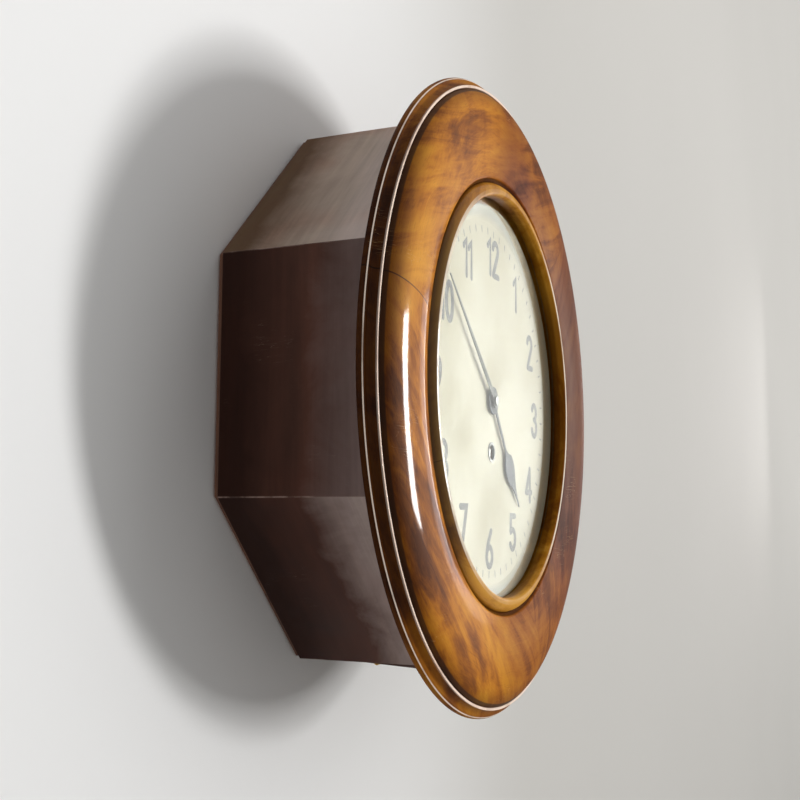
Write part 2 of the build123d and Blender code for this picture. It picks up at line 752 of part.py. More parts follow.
def winding_collet():
    outer = winding_hole - fit_gap / 3
    inner = outer - collet_wall
    bore = RegularPolygon(inner, 2 * small_sides, major_radius=False)
    ring = RegularPolygon(outer, 2 * small_sides) - bore
    lip = RegularPolygon(outer + collet_lip, 2 * small_sides) - bore
    tube = slab(ring, case_front, dial_face, *BARREL)
    return tube + slab(lip, dial_face, dial_face + collet_height, *BARREL)


def clock_hand(points, boss, hole, back, thick, clockwise):
    """A flat hand drawn upright and turned clockwise about the centre arbor."""
    blade = bored(outline(points) + Circle(boss), hole)
    return slab(Rot(0, 0, -clockwise) * blade, back, back + thick, *CENTRE)


def minute_hand():
    wide, tip = minute_hand_wide
    points = [(-wide, 0), (wide, 0), (tip, minute_reach), (-tip, minute_reach)]
    return clock_hand(points, minute_boss, centre_front_radius + hinge_play, dial_face + minute_hand_depth,
                      minute_hand_thick, minute_angle)


def hour_hand():
    """A slim shaft, a leaf near its end and a fine tip."""
    right = [(half, share * hour_reach) for half, share in hour_hand_form]
    left = [(-x, z) for x, z in reversed(right)]
    hole = cannon_radius + collar_wall + hinge_play
    blade = bored(outline(right + left) + Circle(boss_radius), hole)
    back = dial_face + hour_hand_depth
    return slab(Rot(0, 0, -hour_angle) * blade, back, back + hour_hand_thick, *CENTRE)


def hand_nut():
    back = dial_face + minute_hand_depth + minute_hand_thick
    nut = rod(nut_radius, back, back + nut_height, CENTRE)
    return nut - drilling(centre_front_radius + hinge_play, back, back + nut_height, CENTRE)


# ---------------------------------------------------------------- movement
def plate_outline(wide):
    high = plate_top + plate_bottom
    return Pos(0, (plate_top - plate_bottom) / 2) * Rectangle(wide, high)


def pillar_places():
    x = plate_wide / 2 - pillar_inset
    return [(side * x, CENTRE[1] + z) for side in (-1, 1)
            for z in (plate_top - pillar_inset, -(plate_bottom - pillar_inset))]


def pivot_holes():
    """Every bearing hole in the plates, as (place, radius)."""
    fine = [(THIRD, fine_pivot_radius), (ESCAPE, fine_pivot_radius)]
    return [(CENTRE, arbor_radius), (RELAY, pivot_radius)] + fine


def lug_places():
    x = plate_wide / 2 + lug_reach
    heights = (plate_top - lug_inset, lug_inset - plate_bottom)
    return [(side * x, CENTRE[1] + z) for side in (-1, 1) for z in heights]


def front_plate():
    plate = slab(plate_outline(plate_wide), plate_front_inner, plate_front, *CENTRE)
    for x, z in lug_places():
        plate += slab(Rectangle(lug_wide, lug_high), plate_front_inner, plate_front, x, z)
        plate -= drilling(screw_shank_radius + fit_gap, plate_front_inner, plate_front, (x, z))
    for place, radius in pivot_holes() + [(PALLET, pivot_radius)]:
        plate -= drilling(radius + pivot_play, plate_front_inner, plate_front, place)
    plate -= rod(winding_radius + pivot_play, plate_front_inner, plate_front, BARREL)
    for place in pillar_places():
        plate -= drilling(pillar_radius / 2 + hinge_play, plate_front_inner, plate_front, place)
    return plate + rod(minute_stud_radius, plate_front, cannon_back + minute_stud_long, MINUTE)


def back_plate():
    """The rear plate, with the shouldered stud of the click riveted into it."""
    plate = slab(plate_outline(plate_wide), plate_rear, plate_rear_inner, *CENTRE)
    for place, radius in pivot_holes() + [(PALLET, arbor_radius)]:
        plate -= drilling(radius + pivot_play, plate_rear, plate_rear_inner, place)
    plate -= rod(winding_radius + pivot_play, plate_rear, plate_rear_inner, BARREL)
    for place in pillar_places():
        plate -= drilling(pillar_radius / 2 + hinge_play, plate_rear, plate_rear_inner, place)
    stud_back = plate_rear - 2 * ratchet_gap - ratchet_thick
    stud = rod(click_pivot_radius, stud_back, plate_rear, click_place())
    head = flatted(click_pivot_radius + stud_shoulder, stud_back - stud_head, stud_back, click_place())
    return plate + stud + head


def pillars():
    stub = pillar_radius / 2
    steps = [(plate_rear - nut_thick - thread_spare, plate_rear_inner, stub),
             (plate_rear_inner, plate_front_inner, pillar_radius),
             (plate_front_inner, plate_front - pivot_inset, stub)]
    shape = []
    for place in pillar_places():
        pillar = flatted(steps[0][2], *steps[0][:2], place)
        for back, front, radius in steps[1:]:
            pillar += flatted(radius, back, front, place)
        shape.append(pillar)
    return shape


def pillar_nuts():
    shape = RegularPolygon(nut_across / 2, 6, major_radius=False)
    shape -= RegularPolygon(pillar_radius / 2 + hinge_play, small_sides, major_radius=False)
    return [slab(shape, plate_rear - nut_thick, plate_rear, *place) for place in pillar_places()]


centre_phase = 0.0
third_pinion_phase = mesh_phase(CENTRE, centre_teeth, centre_phase, THIRD, third_leaves)
third_phase = 0.0
escape_pinion_phase = mesh_phase(THIRD, third_teeth, third_phase, ESCAPE, escape_leaves)
centre_pinion_phase = 0.0
relay_phase = mesh_phase(CENTRE, centre_leaves, centre_pinion_phase, RELAY, relay_teeth)
relay_pinion_phase = 0.0
barrel_phase = mesh_phase(RELAY, relay_leaves, relay_pinion_phase, BARREL, barrel_teeth)
cannon_phase = 0.0
minute_phase = mesh_phase(CENTRE, cannon_teeth, cannon_phase, MINUTE, minute_teeth)
minute_pinion_phase = 0.0
hour_phase = mesh_phase(MINUTE, minute_leaves, minute_pinion_phase, CENTRE, hour_teeth)


def bored(face, radius):
    """A small hole through the middle of a flat shape."""
    return face - RegularPolygon(radius, small_sides, major_radius=False)


def armed_wheel(teeth, module, phase, bore):
    """A toothed rim on arms, with a hole for its arbor."""
    root = teeth * module / 2 - wheel_form[1] * module
    face = bored(wheel(teeth, module, phase), bore)
    return face - crossings(root - rim_wall, bore + hub_wall, arm_count, arm_wide)


def train_arbor(at, thick, pivot, leaves, pinion_back, pinion_front):
    """An arbor with its pinion cut from the same steel, pivoted in both plates."""
    body = rod(pivot, plate_rear + pivot_inset, plate_front - pivot_inset, at)
    body += flatted(thick, plate_rear_inner + end_play, plate_front_inner - end_play, at)
    return body + slab(leaves, pinion_back, pinion_front, *at)


def relay_wheel():
    """Great wheel's partner: arbor, pinion and wheel riveted together."""
    leaves = pinion(relay_leaves, barrel_module, relay_pinion_phase)
    arbor = train_arbor(RELAY, arbor_radius, pivot_radius, leaves, great_wheel_back - pinion_spare,
                        great_wheel_back + great_wheel_thick + pinion_spare)
    face = armed_wheel(relay_teeth, relay_module, relay_phase, arbor_radius - rivet_bite)
    return arbor + slab(face, relay_wheel_back, relay_wheel_back + wheel_thick, *RELAY)


def centre_arbor():
    """Runs through the front plate and carries the minute hand in front of the dial."""
    nut_front = dial_face + minute_hand_depth + minute_hand_thick + nut_height
    steps = [(plate_rear + pivot_inset, cannon_back, arbor_radius),
             (cannon_back, nut_front - pivot_inset / 2, centre_front_radius)]
    return spindle(steps, CENTRE) + slab(
        pinion(centre_leaves, relay_module, centre_pinion_phase),
        relay_wheel_back - centre_room / 2, centre_wheel_back - centre_room / 2, *CENTRE)


def centre_wheel():
    face = armed_wheel(centre_teeth, train_module, centre_phase, arbor_radius + force_fit)
    return slab(face, centre_wheel_back, centre_wheel_back + wheel_thick, *CENTRE)


def third_wheel():
    leaves = pinion(third_leaves, train_module, third_pinion_phase)
    arbor = train_arbor(THIRD, fine_arbor_radius, fine_pivot_radius, leaves, centre_wheel_back - pinion_spare,
                        centre_wheel_back + wheel_thick + pinion_spare)
    face = armed_wheel(third_teeth, third_module, third_phase, fine_arbor_radius - rivet_bite)
    return arbor + slab(face, third_wheel_back, third_wheel_back + wheel_thick, *THIRD)


def escape_wheel():
    """Slim leaning teeth on a light rim, on an arbor with its pinion."""
    leaves = pinion(escape_leaves, third_module, escape_pinion_phase)
    arbor = train_arbor(ESCAPE, fine_arbor_radius, fine_pivot_radius, leaves, third_wheel_back - pinion_spare,
                        third_wheel_back + wheel_thick + pinion_spare)
    pitch = 360 / escape_teeth
    points = []
    for tooth in range(escape_teeth):
        start = tooth * pitch
        points += [polar((0, 0), escape_radius - escape_tooth, start),
                   polar((0, 0), escape_radius, start + escape_lean[0] * pitch),
                   polar((0, 0), escape_radius - escape_tooth, start + escape_lean[1] * pitch)]
    rim = escape_radius - escape_tooth - rim_wall
    face = outline(points) - crossings(rim, fine_arbor_radius + hub_wall, arm_count, arm_wide)
    return arbor + slab(face, escape_wheel_back, escape_wheel_back + wheel_thick, *ESCAPE)


def barrel():
    """Drum and great wheel in one piece, turning on the winding arbor."""
    floor_front = great_wheel_back + great_wheel_thick
    face = bored(wheel(barrel_teeth, barrel_module, barrel_phase), winding_radius + pivot_play)
    drum = RegularPolygon(barrel_radius, 3 * small_sides)
    drum -= RegularPolygon(barrel_radius - barrel_wall, 3 * small_sides)
    wheel_part = slab(face, great_wheel_back, floor_front, *BARREL)
    return wheel_part + slab(drum, floor_front - rivet_bite, barrel_front, *BARREL)


def barrel_cover():
    face = RegularPolygon(barrel_radius - barrel_wall - hinge_play, 3 * small_sides)
    face -= RegularPolygon(winding_radius + pivot_play, small_sides, major_radius=False)
    return slab(face, barrel_front - cover_inset - cover_thick, barrel_front - cover_inset, *BARREL)


def mainspring():
    """The unwound turns of the spring, lying against the drum."""
    outer = barrel_radius - barrel_wall - 2 * hinge_play
    face = RegularPolygon(outer, 3 * small_sides) - RegularPolygon(outer - mainspring_pack, 3 * small_sides)
    floor_front = great_wheel_back + great_wheel_thick
    cover_back = barrel_front - cover_inset - cover_thick
    return slab(face, floor_front + spring_gap, cover_back - spring_gap, *BARREL)


def winding_arbor():
    rear = plate_rear - ratchet_gap - ratchet_thick - rear_spare
    shoulder = plate_front + square_shoulder
    core_back = great_wheel_back + great_wheel_thick + core_gap
    core_front = barrel_front - cover_inset - cover_thick - core_gap
    steps = [(rear, core_back, winding_radius), (core_back, core_front, barrel_core),
             (core_front, shoulder, winding_radius)]
    square = slab(Rectangle(square_side, square_side), shoulder, shoulder + square_long, *BARREL)
    return spindle(steps, BARREL) + square


def ratchet_wheel():
    pitch = 360 / ratchet_teeth
    points = []
    for tooth in range(ratchet_teeth):
        points += [polar((0, 0), ratchet_radius, tooth * pitch),
                   polar((0, 0), ratchet_radius - ratchet_bite, tooth * pitch + ratchet_rake)]
    face = bored(outline(points), winding_radius + force_fit)
    return slab(face, plate_rear - ratchet_gap - ratchet_thick, plate_rear - ratchet_gap, *BARREL)


def click_place():
    return (BARREL[0] + click_pivot[0], BARREL[1] + click_pivot[1])


def click():
    """Its point lies in a notch of the ratchet wheel; it turns on a shouldered screw."""
    tip = polar((0, 0), ratchet_radius - ratchet_bite + click_clearance, click_angle)
    lean = bearing(tip, click_pivot)
    length = hypot(click_pivot[0] - tip[0], click_pivot[1] - tip[1])
    end = length + click_tail
    arm = outline([(0, -click_point), click_heel, (length, -click_wide), (end, -click_wide / 2),
                   (end, click_wide / 2), (length, click_wide), (length / 2, click_wide), (0, click_point)])
    arm = Pos(*tip) * Rot(0, 0, lean) * arm + Pos(*click_pivot) * RegularPolygon(click_eye, small_sides)
    eye = RegularPolygon(click_pivot_radius + pivot_play, small_sides, major_radius=False)
    arm -= Pos(*click_pivot) * eye
    return slab(arm, plate_rear - ratchet_gap - ratchet_thick, plate_rear - ratchet_gap, *BARREL)


def click_spring():
    """A leaf on a foot on the back plate, its free end beside the arm of the lifted click."""
    foot = (BARREL[0] + click_spring_foot[0], BARREL[1] + click_spring_foot[1])
    end = (BARREL[0] + click_spring_end[0], BARREL[1] + click_spring_end[1])
    length = hypot(end[0] - foot[0], end[1] - foot[1])
    back = plate_rear - ratchet_gap - click_spring_wide
    blade = Pos(length / 2, 0) * Rectangle(length, click_spring_thick)
    blade = Pos(*foot) * Rot(0, 0, bearing(foot, end)) * blade
    base = slab(Rectangle(*click_foot_size), back, plate_rear, *foot)
    return slab(blade, back, plate_rear - ratchet_gap) + base


# ---------------------------------------------------------------- motion work
def cannon_pinion():
    """Sits on the centre arbor and carries the minute hand's collar at its front end."""
    front = dial_face + minute_hand_depth
    bore = centre_front_radius + force_fit
    face = bored(pinion(cannon_teeth, cannon_module, cannon_phase), bore)
    tube = Circle(cannon_radius) - Circle(bore)
    toothed_part = slab(face, cannon_back, cannon_back + wheel_thick + rivet_bite, *CENTRE)
    return toothed_part + slab(tube, cannon_back, front, *CENTRE)


def minute_wheel():
    bore = minute_stud_radius + pivot_play
    face = bored(wheel(minute_teeth, cannon_module, minute_phase), bore)
    leaves = bored(pinion(minute_leaves, minute_module, minute_pinion_phase), bore)
    return slab(face, cannon_back, cannon_back + wheel_thick, *MINUTE) + slab(
        leaves, cannon_back + wheel_thick, minute_pinion_back + wheel_thick + rivet_bite, *MINUTE)


def hour_wheel():
    bore = cannon_radius + pivot_play
    hollow = RegularPolygon(bore, small_sides, major_radius=False)
    face = wheel(hour_teeth, minute_module, hour_phase) - hollow
    pipe = RegularPolygon(hour_pipe_radius, small_sides) - hollow
    collar = RegularPolygon(cannon_radius + collar_wall, small_sides) - hollow
    front = dial_face + hour_hand_depth
    return (slab(face, minute_pinion_back, minute_pinion_back + wheel_thick, *CENTRE)
            + slab(pipe, minute_pinion_back, front, *CENTRE)
            + slab(collar, front, front + hour_hand_thick, *CENTRE))


# ---------------------------------------------------------------- escapement and pendulum
def anchor():
    """Two arms from the pallet arbor to pallets each side of the escape wheel."""
    reach = escape_radius + pallet_clearance
    arbor_below = (0, -pallet_distance)
    pieces = RegularPolygon(anchor_eye, small_sides)
    near = reach + pallet_clearance
    above, below = anchor_root
    for side in (-1, 1):
        angle = 90 - side * pallet_span
        tip_angle = angle - side * pallet_sweep
        inner = polar(arbor_below, near, angle)
        outer = polar(arbor_below, near + pallet_thick[0], angle)
        low = polar(arbor_below, near, tip_angle)
        low_outer = polar(arbor_below, near + pallet_thick[1], tip_angle)
        pieces += outline([(0, above), outer, low_outer, low, inner, (0, below)])
    arbor = rod(arbor_radius, crutch_depth - end_play, plate_rear_inner + end_play, PALLET)
    thick = arbor_radius + shaft_step
    arbor += flatted(thick, plate_rear_inner + end_play, plate_front_inner - end_play, PALLET)
    arbor += flatted(pivot_radius, plate_front_inner - end_play, plate_front - pivot_inset, PALLET)
    back = escape_wheel_back - anchor_spare
    return arbor + slab(pieces, back, back + wheel_thick + 2 * anchor_spare, *PALLET)


def crutch():
    """Hangs from the pallet arbor behind the back plate; its fork straddles the pendulum rod."""
    low = PALLET[1] - crutch_drop
    front = crutch_depth + crutch_thick
    gap = rod_radius + fork_gap
    eye = RegularPolygon(arbor_radius + force_fit, small_sides, major_radius=False)
    arm = RegularPolygon(crutch_eye, small_sides) - eye
    arm += Pos(0, -(crutch_drop + arbor_radius) / 2) * Rectangle(crutch_arm, crutch_drop - 2 * arbor_radius)
    shape = slab(arm, crutch_depth, front, *PALLET)
    bridge = Rectangle(2 * (gap + fork_wide), crutch_bridge)
    shape += slab(bridge, crutch_depth, front, 0, low)
    for side in (-1, 1):
        tine = Rectangle(fork_wide, fork_high)
        shape += slab(tine, pendulum_depth - fork_reach, front, side * (gap + fork_wide / 2), low)
    return shape


def suspension_cock():
    """A bracket on the back plate with two arms that carry the head of the suspension."""
    behind = pendulum_depth - spring_wide / 2 - cock_gap
    ahead = pendulum_depth + spring_wide / 2 + cock_gap
    shape = slab(Rectangle(*cock_base), behind - cock_arm, plate_rear, 0, PALLET[1] + cock_rise)
    for back in (behind - cock_arm, ahead):
        shape += slab(Rectangle(*cock_cheek), back, back + cock_arm, 0, PALLET[1] + cheek_rise)
    return shape - drilling(head_radius + hinge_play, behind - cock_arm, ahead + cock_arm, PALLET)


def suspension_spring():
    """Head pin, thin strip and lower block; it swings with the pendulum."""
    reach = spring_wide / 2 + cock_gap + cock_arm
    head = rod(head_radius, pendulum_depth - reach, pendulum_depth + reach, PALLET)
    strip = slab(Rectangle(spring_thick, spring_long), pendulum_depth - spring_wide / 2,
                 pendulum_depth + spring_wide / 2, 0, PALLET[1] - spring_long / 2)
    half = spring_wide / 2 + block_bite
    middle = PALLET[1] - spring_long - block_over
    block = Rectangle(block_wide, block_high)
    block = slab(block, pendulum_depth - half, pendulum_depth + half, 0, middle)
    return head + strip + block


def upright(radius, low, high):
    """A vertical rod in the plane of the pendulum."""
    return extrude(Plane((0, -pendulum_depth, low), z_dir=(0, 0, 1)) * Circle(radius), high - low)


def bob_middle():
    return PALLET[1] - pendulum_length


def pendulum_rod():
    top = PALLET[1] - spring_long - block_over - block_high / 2
    return upright(rod_radius, bob_middle() - bob_radius - rating_nut_height - rod_spare, top)


def pendulum_bob():
    """A lenticular bob with a rim and two slopes on each face, and a hole for the rod."""
    front = [(bob_radius, bob_edge / 2), bob_shoulder, (bob_flat, bob_thick / 2)]
    rings = [(radius, -height) for radius, height in reversed(front)] + front
    loops = []
    for radius, height in rings:
        corners = [polar((0, bob_middle()), radius, 360 * corner / bob_sides) for corner in range(bob_sides)]
        loops.append([(x, -pendulum_depth - height, z) for x, z in corners])
    bob = faceted(loops)
    low, high = bob_middle() - bob_radius, bob_middle() + bob_radius
    bore = RegularPolygon(rod_radius + hinge_play, small_sides, major_radius=False)
    return bob - extrude(Plane((0, -pendulum_depth, low), z_dir=(0, 0, 1)) * bore, high - low)


def rating_nut():
    low = bob_middle() - bob_radius - rating_nut_height
    plane = Plane((0, -pendulum_depth, low), z_dir=(0, 0, 1))
    shape = RegularPolygon(rating_nut_radius, 2 * small_sides)
    shape -= RegularPolygon(rod_radius + hinge_play, small_sides, major_radius=False)
    return extrude(plane * shape, rating_nut_height)


# ---------------------------------------------------------------- hanging plate
def hanging_plate():
    plate = slab(Rectangle(hanger_wide, hanger_high), 0, hanger_thick, 0, hanger_height)
    plate -= rod(nail_radius, 0, hanger_thick, (0, hanger_height))
    for at, inward in hanger_screw_places():
        plate -= flush_hole(at, inward)
    return plate


def hanger_screw_places():
    reach = hanger_wide / 2 - hanger_screw_inset
    return [((x, 0, hanger_height), (0, -1, 0)) for x in (-reach, reach)]


def flush_screw(at, inward):
    """A countersunk screw let in flush with the surface."""
    plane = Plane(at, z_dir=inward)
    head = extrude(plane * RegularPolygon(screw_head_radius, head_sides), screw_head_height)
    return head + extrude(plane * RegularPolygon(screw_shank_radius, screw_sides), screw_length)


def flush_hole(at, inward):
    plane = Plane(at, z_dir=inward)
    sink = extrude(plane * RegularPolygon(screw_head_radius + fit_gap, head_sides), screw_head_height)
    return sink + screw_hole(at, inward)


def back_board_screw_places():
    """Through the lip of the back board into the edges of the side panels."""
    ring = (inner_apothem + case_apothem - board_inset) / 2
    places = []
    for side in range(sides):
        x, z = polar((0, 0), ring, 45 * side)
        places.append(((x, 0, z), (0, -1, 0)))
    return places


def build():
    case_hinge_screws, door_hinge_screws = door_hinge_screw_places()
    fixed_trap_screws, moving_trap_screws = trap_screw_places()
    board_screws = back_board_screw_places()
    names = ["panel_right", "panel_upper_right", "panel_top", "panel_upper_left", "panel_left",
             "panel_lower_left", "panel_bottom_rear", "panel_lower_right"]
    bottom_rear, trapdoor = bottom_panels()
    for index, name in enumerate(names):
        panel = bottom_rear if name == "panel_bottom_rear" else side_panel(45 * index, board_lip, case_front)
        panel = drilled(panel, board_screws)
        if name == "panel_right":
            panel = drilled(panel, case_hinge_screws)
        if name == "panel_bottom_rear":
            panel = drilled(panel, fixed_trap_screws)
        save(panel, name)

    board = back_board()
    for at, inward in board_screws + hanger_screw_places():
        board -= flush_hole(at, inward)
    save(board, "back_board")
    save_group([flush_screw(*place) for place in board_screws + hanger_screw_places()], "back_board_screws")
    save_group(corner_blocks(), "corner_blocks")
    save(dial_board(), "dial_board")
    save(hanging_plate(), "hanging_plate")

    save(drilled(door_ring(), door_hinge_screws), "door_ring")
    save(door_bezel(), "door_bezel")
    save(glass(), "glass")
    save(glazing_bead(), "glazing_bead")
    case_leaves, door_leaves, door_pins = door_hinges()
    save_group([drilled(leaf, case_hinge_screws) for leaf in case_leaves], "door_hinge_case_leaves")
    save_group([drilled(leaf, door_hinge_screws) for leaf in door_leaves], "door_hinge_door_leaves")
    fixed_leaves, trap_leaves, trap_pins = trap_hinges()
    save_group([drilled(leaf, fixed_trap_screws) for leaf in fixed_leaves], "trapdoor_hinge_case_leaves")
    trap_leaves = [ajar(drilled(leaf, moving_trap_screws)) for leaf in trap_leaves]
    save_group(trap_leaves, "trapdoor_hinge_door_leaves")
    save_group(door_pins + trap_pins, "hinge_pins")
    lug_screws = [((x, -plate_front_inner, z), (0, -1, 0)) for x, z in lug_places()]
    save_group([screw(*place) for place in case_hinge_screws + fixed_trap_screws + lug_screws], "case_screws")
    save_group([screw(*place) for place in door_hinge_screws], "door_hinge_screws")
    save_group([ajar(screw(*place)) for place in moving_trap_screws], "trapdoor_hinge_screws")
    save(ajar(drilled(trapdoor, moving_trap_screws)), "trapdoor")
    save(door_peg(), "door_peg")
    save(door_catch(), "door_catch")

    save(dial(), "dial")
    save_group(dial_pins(), "dial_pins")
    save(winding_collet(), "winding_collet")
    save(hour_hand(), "hour_hand")
    save(minute_hand(), "minute_hand")
    save(hand_nut(), "hand_nut")

    save(front_plate(), "front_plate")
    save(back_plate(), "back_plate")
    save_group(pillars(), "pillars")
    save_group(pillar_nuts(), "pillar_nuts")
    save(barrel(), "barrel")
    save(barrel_cover(), "barrel_cover")
    save(mainspring(), "mainspring")
    save(winding_arbor(), "winding_arbor")
    save(ratchet_wheel(), "ratchet_wheel")
    save(click(), "click")
    save(click_spring(), "click_spring")
    save(relay_wheel(), "relay_wheel")
    save(centre_arbor(), "centre_arbor")
    save(centre_wheel(), "centre_wheel")
    save(third_wheel(), "third_wheel")
    save(escape_wheel(), "escape_wheel")
    save(cannon_pinion(), "cannon_pinion")
    save(minute_wheel(), "minute_wheel")
    save(hour_wheel(), "hour_wheel")
    save(anchor(), "anchor")
    save(crutch(), "crutch")
    save(suspension_cock(), "suspension_cock")
    save(suspension_spring(), "suspension_spring")
    save(pendulum_rod(), "pendulum_rod")
    save(pendulum_bob(), "pendulum_bob")
    save(rating_nut(), "rating_nut")


os.makedirs("parts", exist_ok=True)
build()
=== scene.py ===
import json
import math

import bmesh
import bpy
from mathutils import Matrix, Vector


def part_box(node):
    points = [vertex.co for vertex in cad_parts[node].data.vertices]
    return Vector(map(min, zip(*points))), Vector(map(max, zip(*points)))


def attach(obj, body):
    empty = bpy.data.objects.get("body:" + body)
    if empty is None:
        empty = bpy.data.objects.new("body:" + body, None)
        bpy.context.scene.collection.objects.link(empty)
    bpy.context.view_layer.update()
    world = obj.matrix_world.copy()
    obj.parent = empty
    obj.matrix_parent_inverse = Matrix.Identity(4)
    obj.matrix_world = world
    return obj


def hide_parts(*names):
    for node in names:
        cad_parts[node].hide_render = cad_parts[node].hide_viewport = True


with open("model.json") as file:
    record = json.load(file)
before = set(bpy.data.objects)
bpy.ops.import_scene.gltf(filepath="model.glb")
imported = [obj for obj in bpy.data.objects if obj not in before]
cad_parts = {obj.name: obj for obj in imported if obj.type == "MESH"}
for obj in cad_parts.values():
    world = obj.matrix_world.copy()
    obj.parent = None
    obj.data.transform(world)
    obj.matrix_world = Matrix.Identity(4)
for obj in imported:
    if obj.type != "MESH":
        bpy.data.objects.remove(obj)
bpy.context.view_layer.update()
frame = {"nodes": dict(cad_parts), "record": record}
nodes = frame["nodes"]


# ---------------------------------------------------------------- small helpers
def link(obj):
    bpy.context.scene.collection.objects.link(obj)
    return obj


def mesh_object(name, verts, faces, smooth=True):
    mesh = bpy.data.meshes.new(name)
    mesh.from_pydata([tuple(v) for v in verts], [], faces)
    mesh.validate()
    mesh.update()
    for polygon in mesh.polygons:
        polygon.use_smooth = smooth
    return link(bpy.data.objects.new(name, mesh))


def give(obj, material):
    obj.data.materials.clear()
    obj.data.materials.append(material)


def colour(value):
    """An sRGB colour of 0-255 as linear RGBA."""
    out = []
    for channel in value:
        c = channel / 255
        out.append(c / 12.92 if c <= 0.04045 else ((c + 0.055) / 1.055) ** 2.4)
    return (*out, 1.0)


class Tree:
    """A node tree with short calls for its nodes."""

    def __init__(self, tree):
        self.tree = tree

    def join(self, a, b):
        self.tree.links.new(a, b)

    def put(self, socket, value):
        if value is None:
            return
        if hasattr(value, "is_output"):
            self.join(value, socket)
        else:
            socket.default_value = value

    def fill(self, node, *values):
        """Sets a node's inputs in their order and gives its first output."""
        for socket, value in zip(node.inputs, values):
            self.put(socket, value)
        return node.outputs[0]

    def node(self, kind):
        return self.tree.nodes.new("ShaderNode" + kind)

    def place(self):
        return self.node("TexCoord").outputs["Object"]

    def stretch(self, vector, scale=(1, 1, 1), turn=(0, 0, 0), move=(0, 0, 0)):
        node = self.node("Mapping")
        self.put(node.inputs["Vector"], vector)
        node.inputs["Scale"].default_value = scale
        node.inputs["Rotation"].default_value = [math.radians(a) for a in turn]
        node.inputs["Location"].default_value = move
        return node.outputs[0]

    def noise(self, vector, scale, detail=4.0, rough=0.5, warp=0.0):
        node = self.node("TexNoise")
        self.put(node.inputs["Vector"], vector)
        node.inputs["Scale"].default_value = scale
        node.inputs["Detail"].default_value = detail
        node.inputs["Roughness"].default_value = rough
        node.inputs["Distortion"].default_value = warp
        return node.outputs["Fac"]

    def cells(self, vector, scale):
        """Distance to the nearest of scattered points."""
        node = self.node("TexVoronoi")
        self.put(node.inputs["Vector"], vector)
        node.inputs["Scale"].default_value = scale
        return node.outputs["Distance"]

    def maths(self, kind, a, b=None):
        node = self.node("Math")
        node.operation = kind
        return self.fill(node, a, b)

    def plus(self, a, b):
        return self.maths("ADD", a, b)

    def less(self, a, b):
        return self.maths("SUBTRACT", a, b)

    def times(self, a, b):
        return self.maths("MULTIPLY", a, b)

    def length(self, a, b):
        return self.maths("SQRT", self.plus(self.times(a, a), self.times(b, b)))

    def split(self, vector):
        node = self.node("SeparateXYZ")
        self.put(node.inputs[0], vector)
        return node.outputs

    def combine(self, x=0.0, y=0.0, z=0.0):
        return self.fill(self.node("CombineXYZ"), x, y, z)

    def ramp(self, factor, stops):
        node = self.node("ValToRGB")
        band = node.color_ramp
        band.interpolation = "LINEAR"
        while len(band.elements) < len(stops):
            band.elements.new(0.5)
        for element, (place, value) in zip(band.elements, stops):
            element.position = place
            element.color = value
        return self.fill(node, factor)

    def grade(self, factor, low, high, to_low=0.0, to_high=1.0, smooth=True):
        """Maps low..high onto to_low..to_high, held at both ends."""
        node = self.node("MapRange")
        node.interpolation_type = "SMOOTHSTEP" if smooth else "LINEAR"
        return self.fill(node, factor, low, high, to_low, to_high)

    def near(self, value, middle, half):
        """One where a value is close to a place, falling to zero at its half width."""
        away = self.maths("ABSOLUTE", self.less(value, middle))
        return self.less(1.0, self.grade(away, half * 0.55, half))

    def mix(self, factor, a, b, kind="MIX"):
        node = self.node("Mix")
        node.data_type = "RGBA"
        node.blend_type = kind
        node.clamp_factor = True
        colours = [socket for socket in node.inputs if socket.type == "RGBA"]
        self.put(node.inputs["Factor"], factor)
        self.put(colours[0], a)
        self.put(colours[1], b)
        return [socket for socket in node.outputs if socket.type == "RGBA"][0]

    def shade(self, base, value):
        """The base darkened or lightened by a grey value."""
        return self.mix(1.0, base, self.combine(value, value, value), "MULTIPLY")

    def dim(self, base, share, amount, tint=(0.30, 0.24, 0.18, 1.0)):
        """The base deepened by a tint, as far as share times amount."""
        return self.mix(self.times(share, amount), base, self.mix(1.0, base, tint, "MULTIPLY"))

    def stain(self, base, share, amount, tone):
        """The base covered by an sRGB tone, as far as share times amount."""
        return self.mix(self.times(share, amount), base, colour(tone))

    def bump(self, height, strength, distance):
        node = self.node("Bump")
        node.inputs["Strength"].default_value = strength
        node.inputs["Distance"].default_value = distance
        self.put(node.inputs["Height"], height)
        return node.outputs[0]

    def shown(self):
        """One for the rays that the camera, mirrors and glass look along, zero for the others."""
        path = self.node("LightPath")
        either = self.maths("MAXIMUM", path.outputs["Is Camera Ray"], path.outputs["Is Glossy Ray"])
        return self.maths("MAXIMUM", either, path.outputs["Is Transmission Ray"])

    def choose(self, share, a, b):
        """Shader a where share is zero, shader b where it is one."""
        return self.fill(self.node("MixShader"), share, a, b)


class Nodes(Tree):
    """A material with one principled shader."""

    sockets = {
        "base": "Base Color", "metal": "Metallic", "rough": "Roughness", "normal": "Normal",
        "specular": "Specular IOR Level", "ior": "IOR", "transmission": "Transmission Weight",
        "coat": "Coat Weight", "coat_rough": "Coat Roughness", "coat_normal": "Coat Normal",
        "glow": "Emission Color", "glow_strength": "Emission Strength",
    }

    def __init__(self, name):
        self.material = bpy.data.materials.new(name)
        self.material.use_nodes = True
        super().__init__(self.material.node_tree)
        self.tree.nodes.clear()
        self.output = self.node("OutputMaterial")
        self.shader = self.node("BsdfPrincipled")
        self.join(self.shader.outputs[0], self.output.inputs[0])

    def set(self, **values):
        for key, value in values.items():
            self.put(self.shader.inputs[self.sockets[key]], value)


